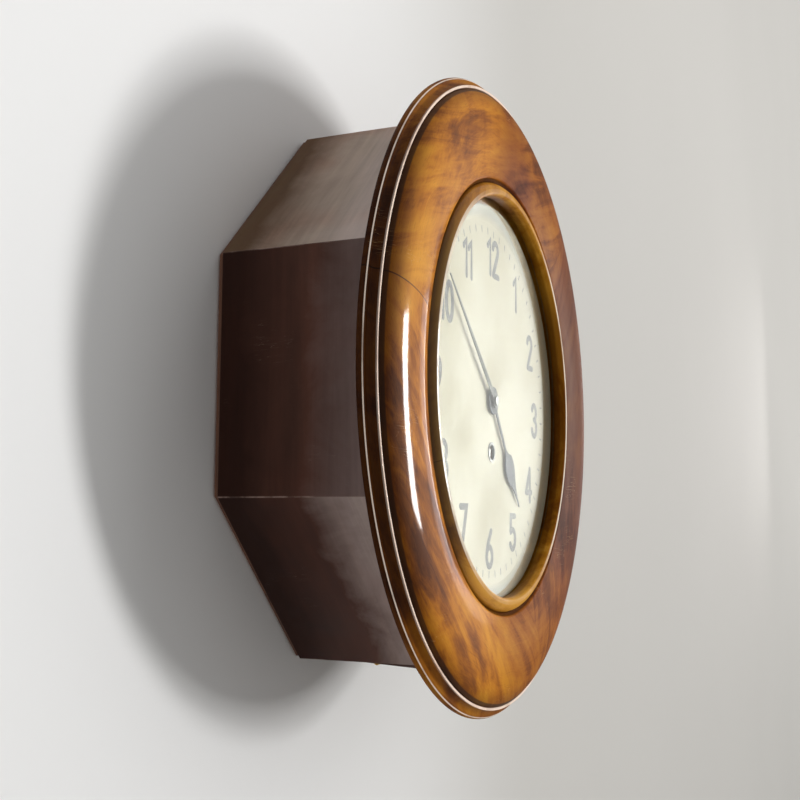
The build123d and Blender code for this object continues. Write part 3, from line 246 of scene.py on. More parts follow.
def lathe(name, profile, turns):
    """Turns a closed profile of (radius, depth) in metres about the clock's axis."""
    verts, faces, count = [], [], len(profile)
    for turn in range(turns):
        a = 2 * math.pi * turn / turns
        for radius, depth in profile:
            verts.append((radius * math.sin(a), -depth, radius * math.cos(a)))
    for turn in range(turns):
        here, there = turn * count, (turn + 1) % turns * count
        for index in range(count):
            after = (index + 1) % count
            faces.append((here + index, there + index, there + after, here + after))
    return mesh_object(name, verts, faces)


# ---------------------------------------------------------------- sizes from the frame, in metres
ring_low, ring_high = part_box("door_ring")
rim = min(ring_high[0], -ring_low[0])
ring_back = -ring_high[1]
case_low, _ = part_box("panel_left")
apothem = -case_low[0]
case_front = -case_low[1]
half_side = apothem * math.tan(math.pi / 8)
dial_low, dial_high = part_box("dial")
dial_rim_height = 0.0036
dial_face = -dial_low[1] - dial_rim_height
dial_middle = ((dial_low[0] + dial_high[0]) / 2, (dial_low[2] + dial_high[2]) / 2)
nut_low, nut_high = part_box("hand_nut")
hand_middle = ((nut_low[0] + nut_high[0]) / 2, (nut_low[2] + nut_high[2]) / 2)

# sizes that the scene adds, in metres and degrees
seat_radius = 0.1374          # inner wall of the ring, where the bezel sits
fillet_middle = rim - 0.0063  # fillet between the cove and the torus, where a highlight is painted
quirk_middle = rim - 0.0083   # groove inside the fillet
arris_depth = ring_back + 0.0051
bezel_crest_rise = 0.0172
dial_turn = 3.0               # the dial sits this far clockwise in its case
hour_angle = 142.0
hour_reach = 0.086
paint_lift = 0.00006          # printed pieces stand this far off the dial
layer_lift = 0.00003          # and each further stroke of a numeral this much more


# ---------------------------------------------------------------- materials
def segment_grain(n, x, z, depth, turn, first_joint):
    """Straight figure in each of the three segments that a turned ring is glued up from."""
    segment = 120.0
    count = n.maths("FLOOR", n.maths("DIVIDE", n.less(turn, first_joint), segment))
    piece = n.maths("FLOORED_MODULO", count, 3.0)
    middle = n.maths("RADIANS", n.plus(n.times(piece, segment), first_joint + segment / 2))
    cosine, sine = n.maths("COSINE", middle), n.maths("SINE", middle)
    along = n.less(n.times(x, cosine), n.times(z, sine))
    over = n.plus(n.times(x, sine), n.times(z, cosine))
    plank = n.combine(n.plus(along, n.times(piece, 0.7)), over, depth)
    return n.noise(n.stretch(plank, (11.0, 78.0, 60.0)), 1.0, 5.0, 0.62, 0.8)


def turned_wood(name, stops, wear_and_painted_light, joints):
    """French-polished mahogany on a turned piece, glued up from three segments."""
    n = Nodes(name)
    x, y, z = n.split(n.place())
    radius = n.length(x, z)
    depth = n.times(y, -1.0)
    turn = n.times(n.maths("ARCTAN2", x, z), 180 / math.pi)
    drift = n.noise(n.place(), 6.5, 3.0, 0.5)
    second = n.noise(n.stretch(n.place(), move=(3.1, 1.7, 4.3)), 8.0, 3.0, 0.55)
    warped = n.plus(radius, n.times(n.less(drift, 0.5), 0.060))
    run = n.combine(warped, depth, n.times(second, 0.055))
    streak = n.noise(run, 150.0, 5.0, 0.62, 0.3)
    fine = n.noise(run, 900.0, 3.0, 0.6)
    broad = n.noise(n.place(), 10.5, 4.0, 0.58, 1.1)
    figure = segment_grain(n, x, z, depth, turn, joints[0])
    pores = n.cells(n.stretch(run, (1500.0, 1500.0, 420.0)), 1.0)
    tone = n.plus(n.times(broad, 0.50), n.times(streak, 0.14))
    tone = n.plus(tone, n.times(figure, 0.48))
    tone = n.plus(tone, n.times(n.less(fine, 0.5), 0.10))
    tone = n.plus(tone, n.grade(z, -0.09, -0.17, 0.0, 0.07))
    pore = n.grade(pores, 0.10, 0.26, 0.74, 1.0)
    base = n.shade(n.ramp(tone, stops), pore)
    for angle in joints:
        line = n.times(n.near(turn, angle, 0.16), n.grade(second, 0.42, 0.58, 0.15, 0.75))
        base = n.mix(line, base, colour((48, 24, 10)))
    height = n.plus(n.times(fine, 0.35), n.times(pore, 0.65))
    waves = n.noise(n.place(), 34.0, 2.0, 0.5)
    base, height, coat = wear_and_painted_light(n, base, height, x, radius, depth)
    n.set(base=base, rough=n.grade(tone, 0.4, 0.7, 0.58, 0.48), specular=0.02, coat=coat,
          coat_rough=n.grade(x, 0.03, 0.13, 0.085, 0.34), normal=n.bump(height, 0.12, 0.0002),
          coat_normal=n.bump(waves, 0.10, 0.002))
    return n.material


def worn_ring(n, base, height, x, radius, depth):
    """Painted highlights on the arris and fillet, painted shade in the grooves, on the flanks and
    on both sides, dents and scratches.
    """
    # Painted shade: the outer flank of the torus darker on the left.
    left = n.grade(x, -0.190, -0.115, 1.0, 0.0)
    base = n.dim(base, n.times(n.grade(radius, 0.1725, 0.1900), left), 0.92)
    # Painted shade: the right side darker.
    base = n.stain(base, n.grade(x, 0.095, 0.150), 0.62, (98, 48, 26))
    # Painted shade in patches over the right half.
    shade_patches = n.grade(n.noise(n.place(), 13.0, 3.0, 0.5), 0.36, 0.56, 0.55, 0.95)
    base = n.dim(base, n.grade(x, -0.060, 0.010), shade_patches, (0.40, 0.25, 0.12, 1.0))
    # Painted shade: the rim darker on the left.
    outside = n.grade(radius, rim - 0.0062, rim - 0.0052)
    base = n.dim(base, n.times(outside, left), 0.72)
    # Painted shade: the inner slope darker on the left.
    inner = n.grade(radius, 0.1490, 0.1400)
    base = n.dim(base, n.times(inner, left), 0.55)
    # Painted shade: the outer flank darker all round.
    base = n.dim(base, n.grade(radius, rim - 0.0200, rim - 0.0080), 0.55)

    # Painted shade in the quirk and in the crease where the bezel sits.
    groove_half = 0.0016
    base = n.stain(base, n.near(radius, quirk_middle, groove_half), 0.75, (30, 17, 9))
    base = n.stain(base, n.near(radius, seat_radius + 0.0010, groove_half), 0.70, (36, 20, 10))

    # Painted highlights: pale broken lines on the fillet and the arris.
    unevenness = n.grade(n.noise(n.place(), 24.0, 4.0, 0.6), 0.28, 0.50, 0.45, 0.95)
    raised = n.grade(depth, ring_back + 0.0098, ring_back + 0.0104)
    fillet_highlight = n.times(n.near(radius, fillet_middle, 0.0010), raised)
    base = n.stain(base, fillet_highlight, unevenness, (250, 226, 208))
    outermost = n.grade(radius, rim - 0.0045, rim - 0.0035)
    arris_highlight = n.times(n.near(depth, arris_depth, 0.00034), outermost)
    base = n.stain(base, arris_highlight, unevenness, (250, 232, 216))

    dent = n.less(1.0, n.grade(n.cells(n.place(), 15.0), 0.006, 0.030))
    base = n.stain(base, dent, 0.35, (92, 50, 18))
    scrape = n.noise(n.stretch(n.place(), (30.0, 30.0, 260.0), (0, 24, 0)), 1.0, 2.0, 0.4, 1.6)
    thin = n.less(1.0, n.grade(n.maths("ABSOLUTE", n.less(scrape, 0.5)), 0.0, 0.010))
    thin = n.times(thin, n.grade(n.noise(n.place(), 26.0, 2.0), 0.60, 0.70))
    base = n.stain(base, thin, 0.35, (222, 178, 120))
    height = n.less(height, n.plus(n.times(dent, 1.5), n.times(thin, 0.8)))

    behind = n.grade(depth, ring_back + 0.0006, ring_back + 0.0002)
    base = n.stain(base, behind, 0.80, (96, 58, 34))
    coat = n.grade(radius, rim - 0.018, rim - 0.008, 0.22, 0.08)
    coat = n.times(coat, n.grade(x, -0.110, -0.010, 1.0, 0.05))
    return base, height, n.times(coat, n.grade(behind, 0.0, 1.0, 1.0, 0.15, smooth=False))


def worn_bezel(n, base, height, x, radius, depth):
    """A painted highlight on the crest and painted shade on the flanks, the sides and the recess.
    """
    # Painted shade: the left and right sides darker.
    base = n.stain(base, n.grade(x, -0.125, -0.060, 1.0, 0.0), 0.86, (66, 48, 16))
    base = n.dim(base, n.grade(x, 0.075, 0.122), 0.72, (0.34, 0.22, 0.16, 1.0))
    # Painted highlight: a pale broken line along the crest, strongest at the sides.
    top = ring_back + bezel_crest_rise
    crest = n.grade(depth, top - 0.00040, top - 0.00025)
    unevenness = n.grade(n.noise(n.place(), 30.0, 4.0, 0.6), 0.30, 0.55, 0.40, 0.90)
    sides = n.grade(n.maths("ABSOLUTE", x), 0.05, 0.11, 0.10, 0.85)
    base = n.stain(base, crest, n.times(unevenness, sides), (252, 240, 218))
    # Painted shade in the recess where the bezel meets the ring.
    base = n.dim(base, n.grade(depth, ring_back + 0.0140, ring_back + 0.0118), 0.6)
    return base, height, n.grade(x, -0.080, 0.010, 0.30, 0.04)


def panel_material(name, angle, back, middle, front):
    """Case side: dark mahogany with a painted grey sheen towards the front, rubbed edges and
    scratches.
    """
    n = Nodes(name)
    place = n.stretch(n.place(), turn=(0, angle, 0))
    x, y, z = n.split(place)
    depth = n.times(y, -1.0)
    grain = n.combine(z, n.plus(y, angle * 0.011), x)
    broad = n.noise(n.stretch(grain, (3.0, 26.0, 26.0)), 1.0, 4.0, 0.6, 1.2)
    streak = n.noise(n.stretch(grain, (9.0, 190.0, 190.0)), 1.0, 5.0, 0.65, 0.5)
    fine = n.noise(n.stretch(grain, (50.0, 1000.0, 1000.0)), 1.0, 3.0, 0.6)
    sheen_cloud = n.noise(n.place(), 19.0, 5.0, 0.62, 0.6)

    # Painted sheen: the tone grows paler and greyer from the back towards the front, in patches.
    clear_back = 0.012
    share = n.maths("DIVIDE", n.less(depth, clear_back), case_front - clear_back)
    share = n.plus(share, n.times(n.less(sheen_cloud, 0.5), 0.45))
    base = n.ramp(share, [(0.04, back), (0.50, middle), (0.92, front)])
    tone = n.plus(n.times(broad, 0.9), n.times(streak, 0.5))
    base = n.shade(base, n.grade(tone, 0.45, 0.95, 0.72, 1.22, smooth=False))
    red = n.grade(n.noise(n.place(), 11.0, 3.0, 0.5), 0.50, 0.72, 0.0, 0.45)
    base = n.mix(red, base, n.mix(1.0, base, (1.0, 0.62, 0.50, 1.0), "MULTIPLY"))

    end = n.grade(depth, case_front - 0.0004, case_front - 0.0002)
    bare = n.mix(streak, colour((52, 27, 14)), colour((98, 58, 34)))
    base = n.mix(n.times(end, 0.90), base, bare)
    edge = n.grade(n.maths("ABSOLUTE", z), half_side - 0.0008, half_side - 0.0001)
    unevenness = n.grade(n.noise(n.place(), 46.0, 5.0, 0.65), 0.46, 0.60, 0.15, 0.8)
    base = n.stain(base, edge, unevenness, (158, 132, 122))
    scratch = n.noise(n.stretch(place, (1, 26.0, 330.0), (22, 0, 0)), 1.0, 2.0, 0.4, 1.4)
    thin = n.less(1.0, n.grade(n.maths("ABSOLUTE", n.less(scratch, 0.5)), 0.0, 0.008))
    marks = n.times(n.times(thin, n.grade(n.noise(n.place(), 30.0, 2.0), 0.58, 0.70)), 0.35)
    base = n.mix(marks, base, colour((150, 128, 116)))
    height = n.less(n.plus(fine, n.times(streak, 0.5)), marks)
    n.set(base=base, rough=n.grade(sheen_cloud, 0.3, 0.7, 0.50, 0.68), specular=0.12, coat=0.08,
          coat_rough=0.30, normal=n.bump(height, 0.10, 0.0002))
    return n.material


def plain_wood(name, light, dark, along):
    """Unpolished softwood with growth lines; along is the axis of the grain."""
    n = Nodes(name)
    scale = [90.0, 90.0, 90.0]
    scale[along] = 5.0
    grain = n.noise(n.stretch(n.place(), scale), 1.0, 4.0, 0.6, 0.7)
    fine = n.noise(n.stretch(n.place(), [s * 8 for s in scale]), 1.0, 3.0)
    dirt = n.noise(n.place(), 9.0, 4.0, 0.6)
    base = n.ramp(grain, [(0.32, colour(dark)), (0.5, colour(light)), (0.7, colour(dark))])
    base = n.mix(n.grade(dirt, 0.45, 0.75, 0.0, 0.45), base, colour((58, 42, 30)))
    n.set(base=base, rough=n.grade(fine, 0.3, 0.7, 0.6, 0.8), normal=n.bump(fine, 0.25, 0.0003))
    return n.material


def metal(name, tone, dull, rough):
    """Bare metal with fine brushing, tarnish and finger marks."""
    n = Nodes(name)
    lines = n.noise(n.stretch(n.place(), (600.0, 600.0, 600.0)), 1.0, 3.0, 0.6)
    cloud = n.noise(n.place(), 55.0, 5.0, 0.65)
    base = n.mix(n.grade(cloud, 0.42, 0.72, 0.0, 0.35), colour(tone), colour(dull))
    rough = n.grade(n.plus(lines, cloud), 0.6, 1.4, rough - 0.06, rough + 0.14)
    n.set(base=base, metal=1.0, rough=rough, normal=n.bump(lines, 0.08, 0.0001))
    return n.material


def painted(name, tone, dull, shine=0.0):
    """Old grey finish on metal, rubbed unevenly."""
    n = Nodes(name)
    cloud = n.noise(n.place(), 75.0, 5.0, 0.65)
    fine = n.noise(n.place(), 900.0, 3.0, 0.6)
    n.set(base=n.mix(n.grade(cloud, 0.38, 0.68), colour(tone), colour(dull)), metal=shine,
          rough=n.grade(cloud, 0.3, 0.7, 0.46, 0.64), specular=0.06,
          normal=n.bump(fine, 0.10, 0.0001))
    return n.material


def dial_paint():
    """Cream paint on zinc: faint yellowing, fly specks, chips, and painted shade on the raised
    edge.
    """
    n = Nodes("dial_paint")
    x, _, z = n.split(n.place())
    cloud = n.noise(n.place(), 16.0, 5.0, 0.6)
    stray = n.grade(n.noise(n.place(), 40.0, 2.0), 0.60, 0.70)
    base = n.mix(n.grade(cloud, 0.35, 0.70), colour((210, 202, 176)), colour((201, 191, 161)))
    speck = n.less(1.0, n.grade(n.cells(n.place(), 130.0), 0.03, 0.07))
    base = n.stain(base, n.times(speck, stray), 0.55, (150, 128, 92))
    chip = n.less(1.0, n.grade(n.cells(n.place(), 21.0), 0.022, 0.030))
    base = n.stain(base, chip, 0.35, (196, 174, 136))
    radius = n.length(n.less(x, dial_middle[0]), n.less(z, dial_middle[1]))
    # Painted shade: the raised edge of the dial greyer.
    base = n.stain(base, n.grade(radius, 0.1175, 0.1225), 0.75, (150, 148, 134))
    n.set(base=base, rough=n.grade(cloud, 0.3, 0.7, 0.44, 0.58), specular=0.10,
          normal=n.bump(n.noise(n.place(), 240.0, 3.0), 0.05, 0.0002))
    return n.material


def ink():
    """Faded grey printing of the numerals."""
    n = Nodes("numeral_ink")
    cloud = n.noise(n.place(), 120.0, 5.0, 0.6)
    n.set(base=n.mix(n.grade(cloud, 0.35, 0.7), colour((84, 82, 74)), colour((70, 69, 64))),
          rough=n.grade(cloud, 0.3, 0.7, 0.50, 0.62), specular=0.10,
          normal=n.bump(cloud, 0.1, 0.0001))
    return n.material


def glass_material():
    """Old sheet glass; shadow and diffuse rays pass straight through."""
    n = Nodes("old_glass")
    wave = n.noise(n.place(), 7.0, 2.0, 0.4)
    dust = n.noise(n.place(), 90.0, 5.0, 0.7)
    n.set(base=(0.97, 0.985, 0.98, 1.0), transmission=1.0, ior=1.46,
          rough=n.grade(dust, 0.45, 0.85, 0.0, 0.035), normal=n.bump(wave, 0.02, 0.01))
    path = n.node("LightPath")
    passing = n.maths("MAXIMUM", path.outputs["Is Shadow Ray"], path.outputs["Is Diffuse Ray"])
    clear = n.fill(n.node("BsdfTransparent"), (0.95, 0.965, 0.955, 1.0))
    n.join(n.choose(passing, n.shader.outputs[0], clear), n.output.inputs[0])
    return n.material


def putty_material():
    """Dry linseed putty."""
    n = Nodes("putty")
    lump = n.noise(n.place(), 190.0, 4.0, 0.7)
    n.set(base=n.mix(lump, colour((128, 112, 88)), colour((88, 74, 56))),
          rough=n.grade(lump, 0.3, 0.7, 0.7, 0.9), normal=n.bump(lump, 0.4, 0.0005))
    return n.material


ring_stops = [(0.42, colour((92, 46, 8))), (0.52, colour((144, 80, 8))),
              (0.60, colour((186, 114, 12))), (0.72, colour((210, 142, 24)))]
bezel_stops = [(0.42, colour((124, 72, 14))), (0.52, colour((170, 110, 24))),
               (0.64, colour((202, 144, 48)))]
ring_wood = turned_wood("ring_mahogany", ring_stops, worn_ring, (-77.0, 43.0, 163.0))
bezel_wood = turned_wood("bezel_mahogany", bezel_stops, worn_bezel, (9.0, 129.0, -111.0))
brass = metal("lacquered_brass", (196, 156, 84), (124, 92, 46), 0.26)
steel = metal("grey_steel", (168, 166, 160), (104, 98, 90), 0.30)
spring_steel = metal("blued_steel", (92, 96, 106), (60, 58, 60), 0.26)
hand_metal = painted("minute_hand_paint", (116, 116, 110), (88, 88, 84))
hour_metal = painted("hour_hand_paint", (62, 64, 70), (44, 46, 51))
dull_steel = painted("dull_steel", (150, 150, 146), (96, 94, 90), 0.45)
board_wood = plain_wood("board_pine", (150, 112, 74), (112, 78, 48), 0)
block_wood = plain_wood("block_pine", (168, 130, 88), (130, 94, 60), 1)
back_wood = plain_wood("back_pine", (104, 66, 46), (70, 42, 30), 2)

# sRGB tones of a case side at its back, middle and front: painted light, paler on the upper sides
# where the light falls and darker on the shaded sides, each paler towards the front as a painted
# sheen
shaded_side = ((44, 18, 8), (84, 52, 41), (132, 112, 108))
lower_sheened_side = ((42, 18, 10), (82, 48, 37), (194, 175, 169))
lit_side = ((92, 68, 46), (186, 166, 151), (230, 212, 205))
panels = {
    "panel_right": (0, shaded_side), "panel_upper_right": (45, lit_side),
    "panel_top": (90, lit_side), "panel_upper_left": (135, lit_side),
    "panel_left": (180, shaded_side), "panel_lower_left": (225, lower_sheened_side),
    "panel_bottom_rear": (270, shaded_side), "trapdoor": (270, shaded_side),
    "panel_lower_right": (315, lower_sheened_side),
}
for name, (angle, tones) in panels.items():
    give(nodes[name], panel_material(name + "_wood", angle, *[colour(tone) for tone in tones]))

finishes = {
    "back_board": back_wood, "dial_board": board_wood, "corner_blocks": block_wood,
    "dial": dial_paint(), "glass": glass_material(), "glazing_bead": putty_material(),
    "door_ring": ring_wood, "door_bezel": bezel_wood,
    "hour_hand": hour_metal, "minute_hand": hand_metal,
    "hand_nut": dull_steel, "winding_collet": dull_steel,
    "mainspring": spring_steel, "click_spring": spring_steel, "suspension_spring": spring_steel,
}
for part in frame["record"]["subparts"]:
    name = part["node"]
    plain = brass if part["material_slot"] == "brass" else steel
    if name not in panels:
        give(nodes[name], finishes.get(name, plain))


# ---------------------------------------------------------------- the turned ring and its bezel
def arc(middle, wide, high, start, end, count):
    """Points on an ellipse between two angles in degrees."""
    out = []
    for step in range(count + 1):
        a = math.radians(start + (end - start) * step / count)
        out.append((middle[0] + wide * math.cos(a), middle[1] + high * math.sin(a)))
    return out


def bow(start, end, rise, count):
    """Points on a shallow curve that stands off its chord by a rise at the middle."""
    run, fall = end[0] - start[0], end[1] - start[1]
    length = math.hypot(run, fall)
    out = []
    for step in range(count + 1):
        s = step / count
        lift = 4 * rise * s * (1 - s) / length
        out.append((start[0] + s * run - lift * fall, start[1] + s * fall + lift * run))
    return out


def ring_profile():
    """From the relieved underside over the rim, cove, fillet, quirk and torus to the seat."""
    back, round_rim = ring_back, 0.0030
    relief, relief_height = 0.0064, 0.0019
    top = back + 2 * round_rim
    hub = (rim - round_rim, back + round_rim)
    step = (rim - 0.0055, top + 0.0048)
    inner = (step[0] - 0.0016, step[1])
    foot = (inner[0] - 0.0005, step[1] - 0.0011)
    crest = (0.1680, back + 0.0187)
    edge = (0.1401, back + 0.0144)
    seat = (seat_radius, back + 0.0114)
    points = [(rim - relief, back), (rim - 0.0011, back + relief_height)]
    points += arc(hub, round_rim, round_rim, -22, 90, 12)
    points += bow((hub[0], top), step, 0.0009, 8)[1:]
    points += [(step[0] - 0.0002, step[1] + 0.0001), inner]
    points += arc((crest[0], foot[1]), foot[0] - crest[0], crest[1] - foot[1], 0, 90, 30)
    points += bow(crest, edge, -0.00108, 26)[1:]
    points += bow(edge, seat, 0.0003, 5)[1:]
    points.append((seat_radius, back))
    return points


ring = lathe("ring_turned", ring_profile(), 420)
give(ring, ring_wood)
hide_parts("door_ring")
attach(ring, "door")


def bezel_profile():
    """From the glass rebate over the rounded back of the bead to its crest and lip."""
    back, outer, rebate, sight = ring_back, 0.13735, 0.1342, 0.1286
    rebate_rise = 0.0082
    seat = (outer, back + 0.0111)
    crest = (0.1302, back + bezel_crest_rise)
    lip = (sight, back + 0.0154)
    points = [(rebate, back), (outer, back)]
    points += arc((crest[0], seat[1]), seat[0] - crest[0], crest[1] - seat[1], 0, 90, 22)
    points += bow(crest, lip, -0.0003, 6)[1:]
    points += [(sight, back + rebate_rise), (rebate, back + rebate_rise)]
    return points


bezel = lathe("bezel_turned", bezel_profile(), 360)
give(bezel, bezel_wood)
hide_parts("door_bezel")
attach(bezel, "door")


# ---------------------------------------------------------------- numerals, strokes, hour hand
# Strokes of each numeral in a box 1 high. Those that cross are separate, each on its own layer.
digit_width, narrow_width, narrow_shift = 0.46, 0.34, 0.06
strokes = {
    "0": [arc((0.23, 0.5), 0.155, 0.425, 0, 360, 30)],
    "1": [[(0.10, 0.76), (0.29, 0.925), (0.29, 0.075)]],
    "2": [arc((0.23, 0.735), 0.155, 0.19, 172, -28, 14) + [(0.085, 0.085)],
          [(0.085, 0.075), (0.40, 0.075)]],
    "3": [arc((0.22, 0.725), 0.145, 0.20, 160, -88, 14),
          arc((0.22, 0.30), 0.165, 0.225, 88, -165, 14)],
    "4": [[(0.33, 0.075), (0.33, 0.925)],
          [(0.33, 0.925), (0.06, 0.30)],
          [(0.06, 0.30), (0.43, 0.30)]],
    "5": [[(0.38, 0.915), (0.115, 0.915), (0.095, 0.52)],
          arc((0.215, 0.32), 0.17, 0.245, 130, -150, 16)],
    "6": [arc((0.235, 0.31), 0.16, 0.235, 0, 360, 24),
          [(0.33, 0.925), (0.14, 0.60), (0.082, 0.40)]],
    "7": [[(0.07, 0.915), (0.39, 0.915), (0.17, 0.075)]],
    "8": [arc((0.23, 0.72), 0.135, 0.205, 0, 360, 22),
          arc((0.23, 0.295), 0.165, 0.22, 0, 360, 24)],
    "9": [arc((0.225, 0.69), 0.16, 0.235, 0, 360, 24),
          [(0.378, 0.60), (0.32, 0.40), (0.13, 0.075)]],
}


def add_ribbon(verts, faces, path, width, put):
    """One stroke: a mitred strip along a path, with round ends unless the path is closed."""
    half, end_steps = width / 2, 6
    count = len(path)
    loop = math.dist(path[0], path[-1]) < 1e-6
    headings = [math.atan2(b[1] - a[1], b[0] - a[0]) for a, b in zip(path, path[1:])]
    start = len(verts)
    for index, (x, z) in enumerate(path):
        before = headings[index - 1] if index or loop else headings[0]
        after = headings[index] if index < count - 1 else (headings[0] if loop else headings[-1])
        bend = (after - before + math.pi) % (2 * math.pi) - math.pi
        normal = before + bend / 2 + math.pi / 2
        reach = half * min(1.6, 1 / max(0.2, math.cos(bend / 2)))
        verts.append(put(x + reach * math.cos(normal), z + reach * math.sin(normal)))
        verts.append(put(x - reach * math.cos(normal), z - reach * math.sin(normal)))
    for index in range(count - 1):
        a = start + 2 * index
        faces.append((a + 2, a + 3, a + 1, a))
    if loop:
        return
    for (x, z), heading, sign in ((path[0], headings[0], 1), (path[-1], headings[-1], -1)):
        first = len(verts)
        for step in range(end_steps + 1):
            a = heading + sign * math.pi / 2 + math.pi * step / end_steps
            verts.append(put(x + half * math.cos(a), z + half * math.sin(a)))
        faces.append(tuple(reversed(range(first, first + end_steps + 1))))


def numerals():
    """The twelve hours as thin printed strokes on the dial."""
    verts, faces = [], []
    high, stroke, wider, circle = 0.0262, 0.0041, 1.24, 0.0955
    for hour in range(1, 13):
        a = math.radians(30 * hour + dial_turn)
        cx = dial_middle[0] + circle * math.sin(a)
        cz = dial_middle[1] + circle * math.cos(a)
        text = str(hour)
        spans = [(narrow_width if digit == "1" else digit_width * wider) * high for digit in text]
        left = -sum(spans) / 2
        for span, digit in zip(spans, text):
            start = cx + left - (narrow_shift * high if digit == "1" else 0.0)
            stretch = high * (1.0 if digit == "1" else wider)
            left += span
            for layer, path in enumerate(strokes[digit]):
                depth = dial_face + paint_lift + layer * layer_lift

                def put(x, z, start=start, stretch=stretch, depth=depth, cz=cz):
                    return (start + x * stretch, -depth, cz + (z - 0.5) * high)

                add_ribbon(verts, faces, path, stroke / high, put)
    return mesh_object("numerals", verts, faces, smooth=False)


def minute_strokes():
    """Sixty printed strokes round the dial."""
    verts, faces = [], []
    inner, outer, half = 0.1096, 0.1140, 0.00055
    for minute in range(60):
        a = math.radians(6 * minute + dial_turn)
        out = (math.sin(a), math.cos(a))
        side = (out[1], -out[0])
        start = len(verts)
        for reach, off in ((inner, -half), (inner, half), (outer, half), (outer, -half)):
            verts.append((dial_middle[0] + out[0] * reach + side[0] * off,
                          -(dial_face + paint_lift),
                          dial_middle[1] + out[1] * reach + side[1] * off))
        faces.append((start + 3, start + 2, start + 1, start))
    return mesh_object("minute_strokes", verts, faces, smooth=False)


def hour_leaf():
    """The pear-shaped leaf of the hour hand, drawn round the plain one of the solid."""
    back, front = dial_face + 0.00127, dial_face + 0.00193
    a = math.radians(hour_angle)
    # share of the hand's reach, and half width in millimetres
    form = [(0.520, 1.5), (0.526, 3.8), (0.540, 6.0), (0.566, 7.6), (0.610, 8.4), (0.660, 8.4),
            (0.700, 7.5), (0.740, 5.8), (0.780, 4.0), (0.820, 2.5), (0.860, 1.7), (0.900, 1.25)]
    sides = [(half / 1000, share * hour_reach) for share, half in form]
    loop = sides + [(-wide, along) for wide, along in reversed(sides)]
    verts = []
    for depth in (back, front):
        for wide, along in loop:
            verts.append((hand_middle[0] + along * math.sin(a) + wide * math.cos(a), -depth,
                          hand_middle[1] + along * math.cos(a) - wide * math.sin(a)))
    count = len(loop)
    faces = [tuple(range(count)), tuple(reversed(range(count, 2 * count)))]
    faces += [(i, count + i, count + (i + 1) % count, (i + 1) % count) for i in range(count)]
    obj = mesh_object("hour_leaf", verts, faces, smooth=False)
    mesh = bmesh.new()
    mesh.from_mesh(obj.data)
    bmesh.ops.recalc_face_normals(mesh, faces=mesh.faces)
    mesh.to_mesh(obj.data)
    mesh.free()
    return obj


leaf = hour_leaf()
give(leaf, hour_metal)
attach(leaf, "hour_pipe")

printed = ink()
for piece in (numerals(), minute_strokes()):
    give(piece, printed)
    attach(piece, "case")


# ---------------------------------------------------------------- stage: wall, floor, light, camera
def stage_material(name, tone, shaded_far_tone):
    """Matt paint that changes tone along x, a painted falloff of the light that darkens it to the
    right; also its colour and the rays that may see it.
    """
    n = Nodes(name)
    cloud = n.noise(n.place(), 1.3, 3.0, 0.5)
    x = n.split(n.place())[0]
    # Painted shade: the tone darkens towards the far tone along x.
    base = n.mix(n.grade(x, -0.15, 0.45), colour(tone), colour(shaded_far_tone))
    base = n.mix(n.grade(cloud, 0.3, 0.7, 0.0, 0.05), base, colour((170, 168, 164)))
    n.set(base=base, rough=n.grade(cloud, 0.0, 1.0, 0.85, 0.92), specular=0.1)
    return n, base, n.shown()


def wall_paint():
    """Only seen rays meet it, and only from the front; it takes shadows and bounces no light."""
    n, _, shown = stage_material("wall_paint", (235, 235, 235), (196, 194, 190))
    front = n.less(1.0, n.node("NewGeometry").outputs["Backfacing"])
    clear = n.node("BsdfTransparent").outputs[0]
    n.join(n.choose(n.times(shown, front), clear, n.shader.outputs[0]), n.output.inputs[0])
    return n.material


def floor_paint():
    """A little brighter for seen rays; it keeps the shadow."""
    n, base, shown = stage_material("floor_paint", (226, 225, 222), (222, 221, 218))
    n.set(glow=base, glow_strength=n.times(shown, 0.40))
    return n.material


def sheet_of(name, corners, material):
    obj = mesh_object(name, corners, [(0, 1, 2, 3)], smooth=False)
    give(obj, material)
    return obj


wall_y, wall_left, wall_right, wall_top = 0.0015, -6, 60, 4
floor_z, floor_half = -1.6, 9
wall_corners = ((wall_left, floor_z), (wall_right, floor_z),
                (wall_right, wall_top), (wall_left, wall_top))
sheet_of("wall", [(x, wall_y, z) for x, z in wall_corners], wall_paint())
floor_corners = ((-1, -1), (1, -1), (1, 1), (-1, 1))
sheet_of("floor", [(x * floor_half, y * floor_half, floor_z) for x, y in floor_corners],
         floor_paint())

lamp_distance = 3.0


def aim(obj, target):
    obj.rotation_mode = "QUATERNION"
    obj.rotation_quaternion = (Vector(target) - obj.location).to_track_quat("-Z", "Y")


def window(name, azimuth, width, low, high, power, tint=(1.0, 0.985, 0.96)):
    """A bright opening at an azimuth right of the front, mirrored in the polish."""
    light = bpy.data.lights.new(name, "AREA")
    light.shape = "RECTANGLE"
    light.size, light.size_y = width, high - low
    light.energy = power
    light.color = tint
    obj = link(bpy.data.objects.new(name, light))
    a = math.radians(azimuth)
    obj.location = (lamp_distance * math.sin(a), -lamp_distance * math.cos(a), (low + high) / 2)
    aim(obj, (0, -0.1, 0))
    obj.visible_diffuse = False
    return obj


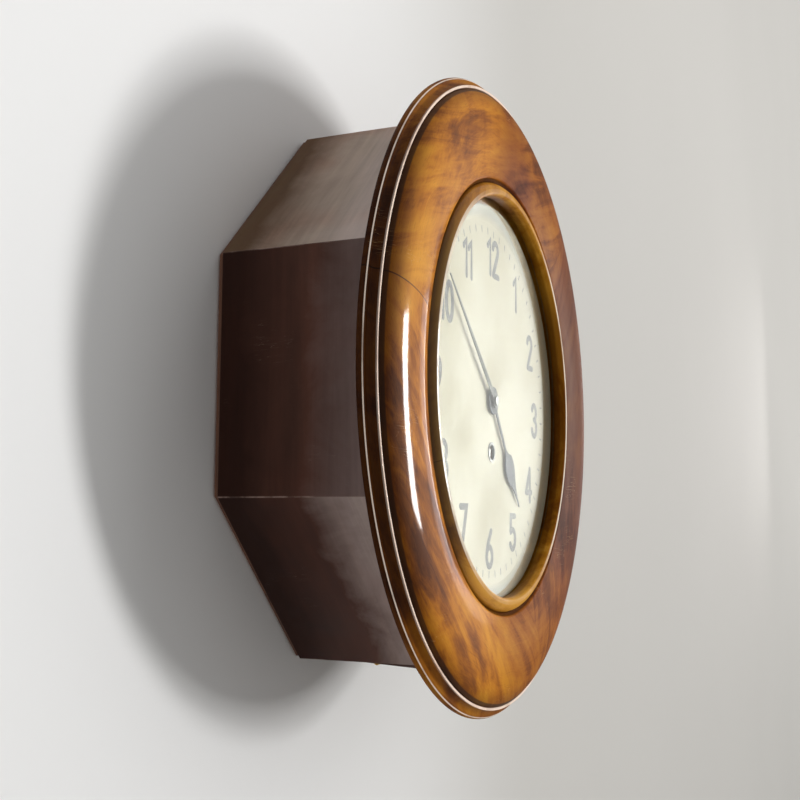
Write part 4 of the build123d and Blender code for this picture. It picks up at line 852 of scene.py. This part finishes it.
def daylight(name, azimuth, elevation, strength, spread):
    """Far soft daylight; it is not mirrored in the polish."""
    light = bpy.data.lights.new(name, "SUN")
    light.energy = strength
    light.angle = math.radians(spread)
    light.color = (1.0, 0.995, 0.985)
    obj = link(bpy.data.objects.new(name, light))
    a, e = math.radians(azimuth), math.radians(elevation)
    direction = Vector((math.sin(a) * math.cos(e), -math.cos(a) * math.cos(e), math.sin(e)))
    obj.location = direction * lamp_distance
    aim(obj, (0, 0, 0))
    obj.visible_glossy = False
    return obj


window("window_near", azimuth=46.5, width=0.46, low=-0.30, high=0.66, power=98.0)
window("window_mid", azimuth=81.2, width=0.62, low=-0.20, high=0.62, power=4.2,
       tint=(1.0, 0.84, 0.84))
window("window_far", azimuth=86.8, width=0.10, low=-0.05, high=0.60, power=2.6)
for index, (azimuth, elevation) in enumerate(((38.5, -9.0), (38.0, -3.0), (36.0, 3.0))):
    daylight("daylight_%d" % index, azimuth, elevation, strength=0.90, spread=7.0)
daylight("sky", 42.0, 34.0, strength=0.62, spread=55.0)

# a soft graded room for diffuse light; a pale background for the camera, mirrors and glass
world = bpy.data.worlds.new("room")
bpy.context.scene.world = world
world.use_nodes = True
room = Tree(world.node_tree)
upward = room.split(room.node("TexCoord").outputs["Generated"])[2]
fade = room.grade(upward, -0.5, 0.6, smooth=False)
graded = room.mix(fade, colour((146, 144, 140)), colour((240, 240, 240)))
soft = room.fill(room.tree.nodes["Background"], graded, 0.50)
pale = room.fill(room.node("Background"), colour((232, 232, 230)), 1.0)
room.join(room.choose(room.shown(), soft, pale), room.tree.nodes["World Output"].inputs[0])

# the photograph's camera: place in metres, angles in degrees
camera_data = bpy.data.cameras.new("camera")
camera = link(bpy.data.objects.new("camera", camera_data))
camera_data.sensor_width = 36.0
camera_data.lens = 50.69
camera_data.clip_start, camera_data.clip_end = 0.01, 50.0
yaw, pitch, roll = math.radians(66.44), math.radians(6.24), math.radians(0.29)
ahead = Vector((math.sin(yaw) * math.cos(pitch), math.cos(yaw) * math.cos(pitch), math.sin(pitch)))
level = Vector((math.cos(yaw), -math.sin(yaw), 0.0))
upright = level.cross(ahead)
right = level * math.cos(roll) + upright * math.sin(roll)
up = upright * math.cos(roll) - level * math.sin(roll)
turn = Matrix((right, up, -ahead)).transposed()
camera.matrix_world = Matrix.Translation((-0.6918, -0.3413, -0.0818)) @ turn.to_4x4()
bpy.context.scene.camera = camera
bpy.context.scene.view_settings.view_transform = "Standard"

bpy.context.view_layer.update()
